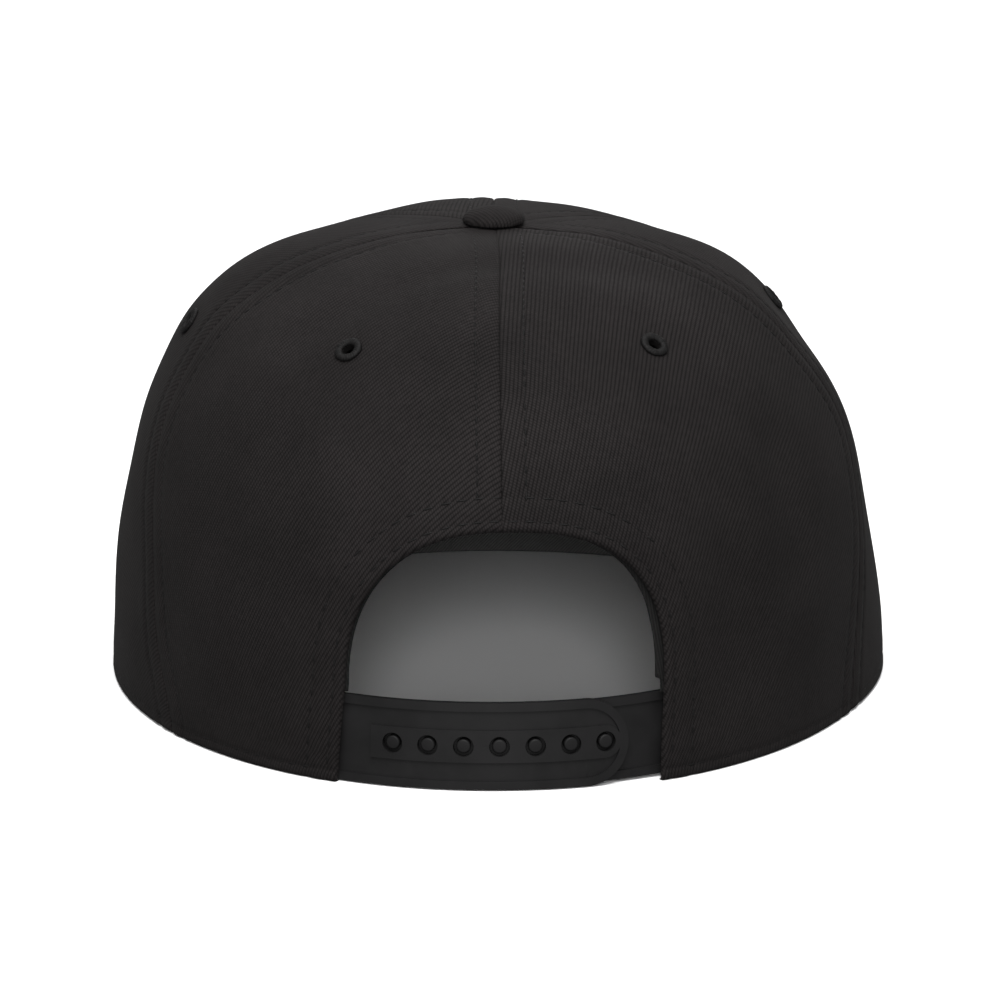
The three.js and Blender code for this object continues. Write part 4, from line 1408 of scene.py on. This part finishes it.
def edge_normals(outer):
    """Level directions out of the peak's edge."""
    tangent = unit(np.gradient(outer, axis=0))
    normal = np.stack([tangent[:, 1], -tangent[:, 0]], -1)
    return normal * np.sign((normal * (outer - PEAK_HEART)).sum(-1, keepdims=True))


def level_row(place, height):
    """A row of points with the same third value."""
    return np.concatenate([place, np.full((len(place), 1), height)], 1)


class CAP_OT_peak(bpy.types.Operator):
    """Makes the flat peak with its rolled edge and its rows of stitches"""

    bl_idname = "cap.peak"
    bl_label = "Peak"

    def execute(self, context):
        outer, inner = peak_lines()
        normal = edge_normals(outer)
        # Across the top from the crown, round the edge and back underneath
        core = outer - normal * PEAK_ROLL
        turns = np.linspace(0, math.pi, 15)
        rim = [level_row(core + normal * PEAK_ROLL * math.sin(t), math.cos(t)) for t in turns]
        share = np.linspace(0, 1, 56)[:-1]
        top = [level_row(inner + (core - inner) * s, 1.0) for s in share]
        under = [level_row(inner + (core - inner) * s, -1.0) for s in share[::-1]]
        rows = np.array(top + rim + under)
        place = rows[..., :2]
        edge = np.linalg.norm(place - np.broadcast_to(outer, place.shape), axis=-1)
        groove = sum(hump(edge, offset, 0.7 * MM) for offset in PEAK_OFFSETS)
        z = PEAK_THICKNESS / 2 + rows[..., 2] * (PEAK_THICKNESS / 2)
        z = z - np.sign(rows[..., 2]) * 0.16 * MM * groove * (np.abs(rows[..., 2]) > 0.99)
        points = np.concatenate([place, np.maximum(z, 0)[..., None]], -1)
        piece = sheet("peak_cloth", points + CROWN_AT, place * np.array((-1, -1)))
        take(piece)
        bpy.ops.object.mode_set(mode="EDIT")
        bpy.ops.mesh.select_all(action="SELECT")
        bpy.ops.mesh.remove_doubles(threshold=1e-6)
        bpy.ops.mesh.select_all(action="DESELECT")
        bpy.ops.mesh.select_non_manifold()
        bpy.ops.mesh.fill()
        bpy.ops.mesh.select_all(action="SELECT")
        bpy.ops.mesh.normals_make_consistent(inside=False)
        bpy.ops.object.mode_set(mode="OBJECT")
        finish_piece(piece, MATERIALS["peak"], "twill", "peak", angle=60)
        self.stitches(outer, inner)
        return {"FINISHED"}

    def stitches(self, outer, inner):
        """Rows that follow the outer edge, on the top face."""
        shape, faces = stitch_shape()
        stitches = []
        jitter = np.random.default_rng(11)
        up = np.array((0, 0, 1.0))
        normal = edge_normals(outer)
        for offset in PEAK_OFFSETS:
            line = outer - normal * offset
            radius = np.hypot(line[:, 0] / HALF_WIDTH, line[:, 1] / FRONT_LENGTH)
            keep = (radius > 1.015) & (line[:, 1] < inner[0, 1] - 1 * MM)
            # An inner row ends where it meets itself at the corners
            gap = np.linalg.norm(line[:, None] - outer[None], axis=-1).min(1)
            keep &= gap > offset - 0.25 * MM
            line = line[keep]
            if len(line) < 20:
                continue
            travel = travelled(line)
            count = int(travel[-1] / PEAK_PITCH)
            for place in (np.arange(count) + 0.5) * PEAK_PITCH + jitter.normal(0, 0.1 * MM, count):
                ends = np.array((place - 1.2 * MM, place, place + 1.2 * MM))
                a, b, c = np.stack([np.interp(ends, travel, line[:, i]) for i in range(2)], -1)
                if np.linalg.norm(c - a) < 1.5 * MM:
                    continue
                ahead = np.append(unit(c - a), 0)
                aside = np.array((-ahead[1], ahead[0], 0))
                middle = np.append(b, PEAK_THICKNESS - 0.08 * MM)
                stitches.append(lay_stitch(shape, middle, (ahead, aside, up), 2.45 * MM, THREAD, THREAD))
        thread_piece("peak_stitches", stitches, faces)


WORLD_LIGHT = 0.45
WORLD_SEEN = 1.3
FLOOR_LIT = 0.3
FLOOR_SEEN = (0.6, 0.608)
# Name, azimuth, elevation, distance, size and power
LIGHTS = (
    ("key_light", 0, 60, 1.6, 1.1, 50.0),
    ("top_light", 180, 78, 1.6, 1.2, 19.0),
    ("fill_light", 0, 17.5, 1.9, 0.6, 26.0),
    ("front_light", 180, 25, 1.9, 0.9, 6.0),
)
LIGHTS_AIM = (0, 0, 0.05)
CAMERA_LENS = 249.9
CAMERA_RISE = 15.29
CAMERA_DISTANCE = 1.5896
CAMERA_AIM = (-0.0008, 0.0, 0.038)


def grey(value):
    return (value, value, value, 1)


def stand_facing(thing, place, back):
    """Stands a lamp or camera at a place, facing away from back."""
    thing.location = place
    thing.rotation_mode = "QUATERNION"
    thing.rotation_quaternion = (-back).to_track_quat("-Z", "Y")


class CAP_OT_stage(bpy.types.Operator):
    """Sets up the floor, the soft lights and the camera"""

    bl_idname = "cap.stage"
    bl_label = "Stage"

    def execute(self, context):
        clear_selection()
        bpy.ops.mesh.primitive_plane_add(size=30)
        floor = named("floor")
        material, tree, shader, places = new_material("pale_floor")
        grain = noise(tree, places.outputs["Object"], 30.0, 3.0)
        path = tree.nodes.new("ShaderNodeLightPath")
        low, high = FLOOR_SEEN
        seen = mixed(tree, span(tree, grain, 0.3, 0.7, 0.0, 1.0), grey(low), grey(high))
        shade = mixed(tree, path.outputs["Is Camera Ray"], grey(FLOOR_LIT), seen)
        tree.links.new(shade, shader.inputs["Base Color"])
        shader.inputs["Roughness"].default_value = 0.95
        shader.inputs["Specular IOR Level"].default_value = 0.0
        floor.data.materials.append(material)

        world = context.scene.world or bpy.data.worlds.new("studio")
        context.scene.world = world
        world.use_nodes = True
        sky = world.node_tree
        background = sky.nodes["Background"]
        path = sky.nodes.new("ShaderNodeLightPath")
        strength = span(sky, path.outputs["Is Camera Ray"], 0.0, 1.0, WORLD_LIGHT, WORLD_SEEN)
        sky.links.new(strength, background.inputs["Strength"])
        background.inputs["Color"].default_value = (1, 1, 1, 1)

        for name, azimuth, elevation, distance, size, power in LIGHTS:
            turn, rise = math.radians(azimuth), math.radians(elevation)
            way = Vector((math.sin(turn) * math.cos(rise), math.cos(turn) * math.cos(rise), math.sin(rise)))
            light = bpy.data.lights.new(name, "AREA")
            light.shape = "DISK"
            light.size = size
            light.energy = power
            lamp = bpy.data.objects.new(name, light)
            context.scene.collection.objects.link(lamp)
            stand_facing(lamp, Vector(CROWN_AT) + Vector(LIGHTS_AIM) + way * distance, way)

        camera = bpy.data.cameras.new("camera")
        camera.lens = CAMERA_LENS
        camera.sensor_width = 36
        eye = bpy.data.objects.new("camera", camera)
        context.scene.collection.objects.link(eye)
        rise = math.radians(CAMERA_RISE)
        aim = Vector(CROWN_AT) + Vector(CAMERA_AIM)
        back = Vector((0, math.cos(rise), math.sin(rise)))
        stand_facing(eye, aim + back * CAMERA_DISTANCE, back)
        context.scene.camera = eye
        context.scene.view_settings.view_transform = "Standard"
        return {"FINISHED"}


class CAP_PT_sidebar(bpy.types.Panel):
    """Lists the cap's pieces in the sidebar"""

    bl_label = "Cap"
    bl_idname = "CAP_PT_sidebar"
    bl_space_type = "VIEW_3D"
    bl_region_type = "UI"
    bl_category = "Cap"

    def draw(self, context):
        for item in context.scene.cap_settings.bl_rna.properties:
            if not item.is_readonly and item.identifier != "name":
                self.layout.prop(context.scene.cap_settings, item.identifier)
        for made in OPERATORS:
            self.layout.operator(made.bl_idname)


OPERATORS = (
    CAP_OT_panels,
    CAP_OT_stitches,
    CAP_OT_eyelets,
    CAP_OT_button,
    CAP_OT_straps,
    CAP_OT_lining,
    CAP_OT_peak,
    CAP_OT_stage,
)
CLASSES = (CapSettings, *OPERATORS, CAP_PT_sidebar)


def register():
    for made in CLASSES:
        bpy.utils.register_class(made)
    bpy.types.Scene.cap_settings = bpy.props.PointerProperty(type=CapSettings)


def unregister():
    del bpy.types.Scene.cap_settings
    for made in reversed(CLASSES):
        bpy.utils.unregister_class(made)


def main():
    register()
    MATERIALS.update(build_materials())
    for made in OPERATORS:
        area, action = made.bl_idname.split(".")
        getattr(getattr(bpy.ops, area), action)()


if __name__ == "__main__":
    main()
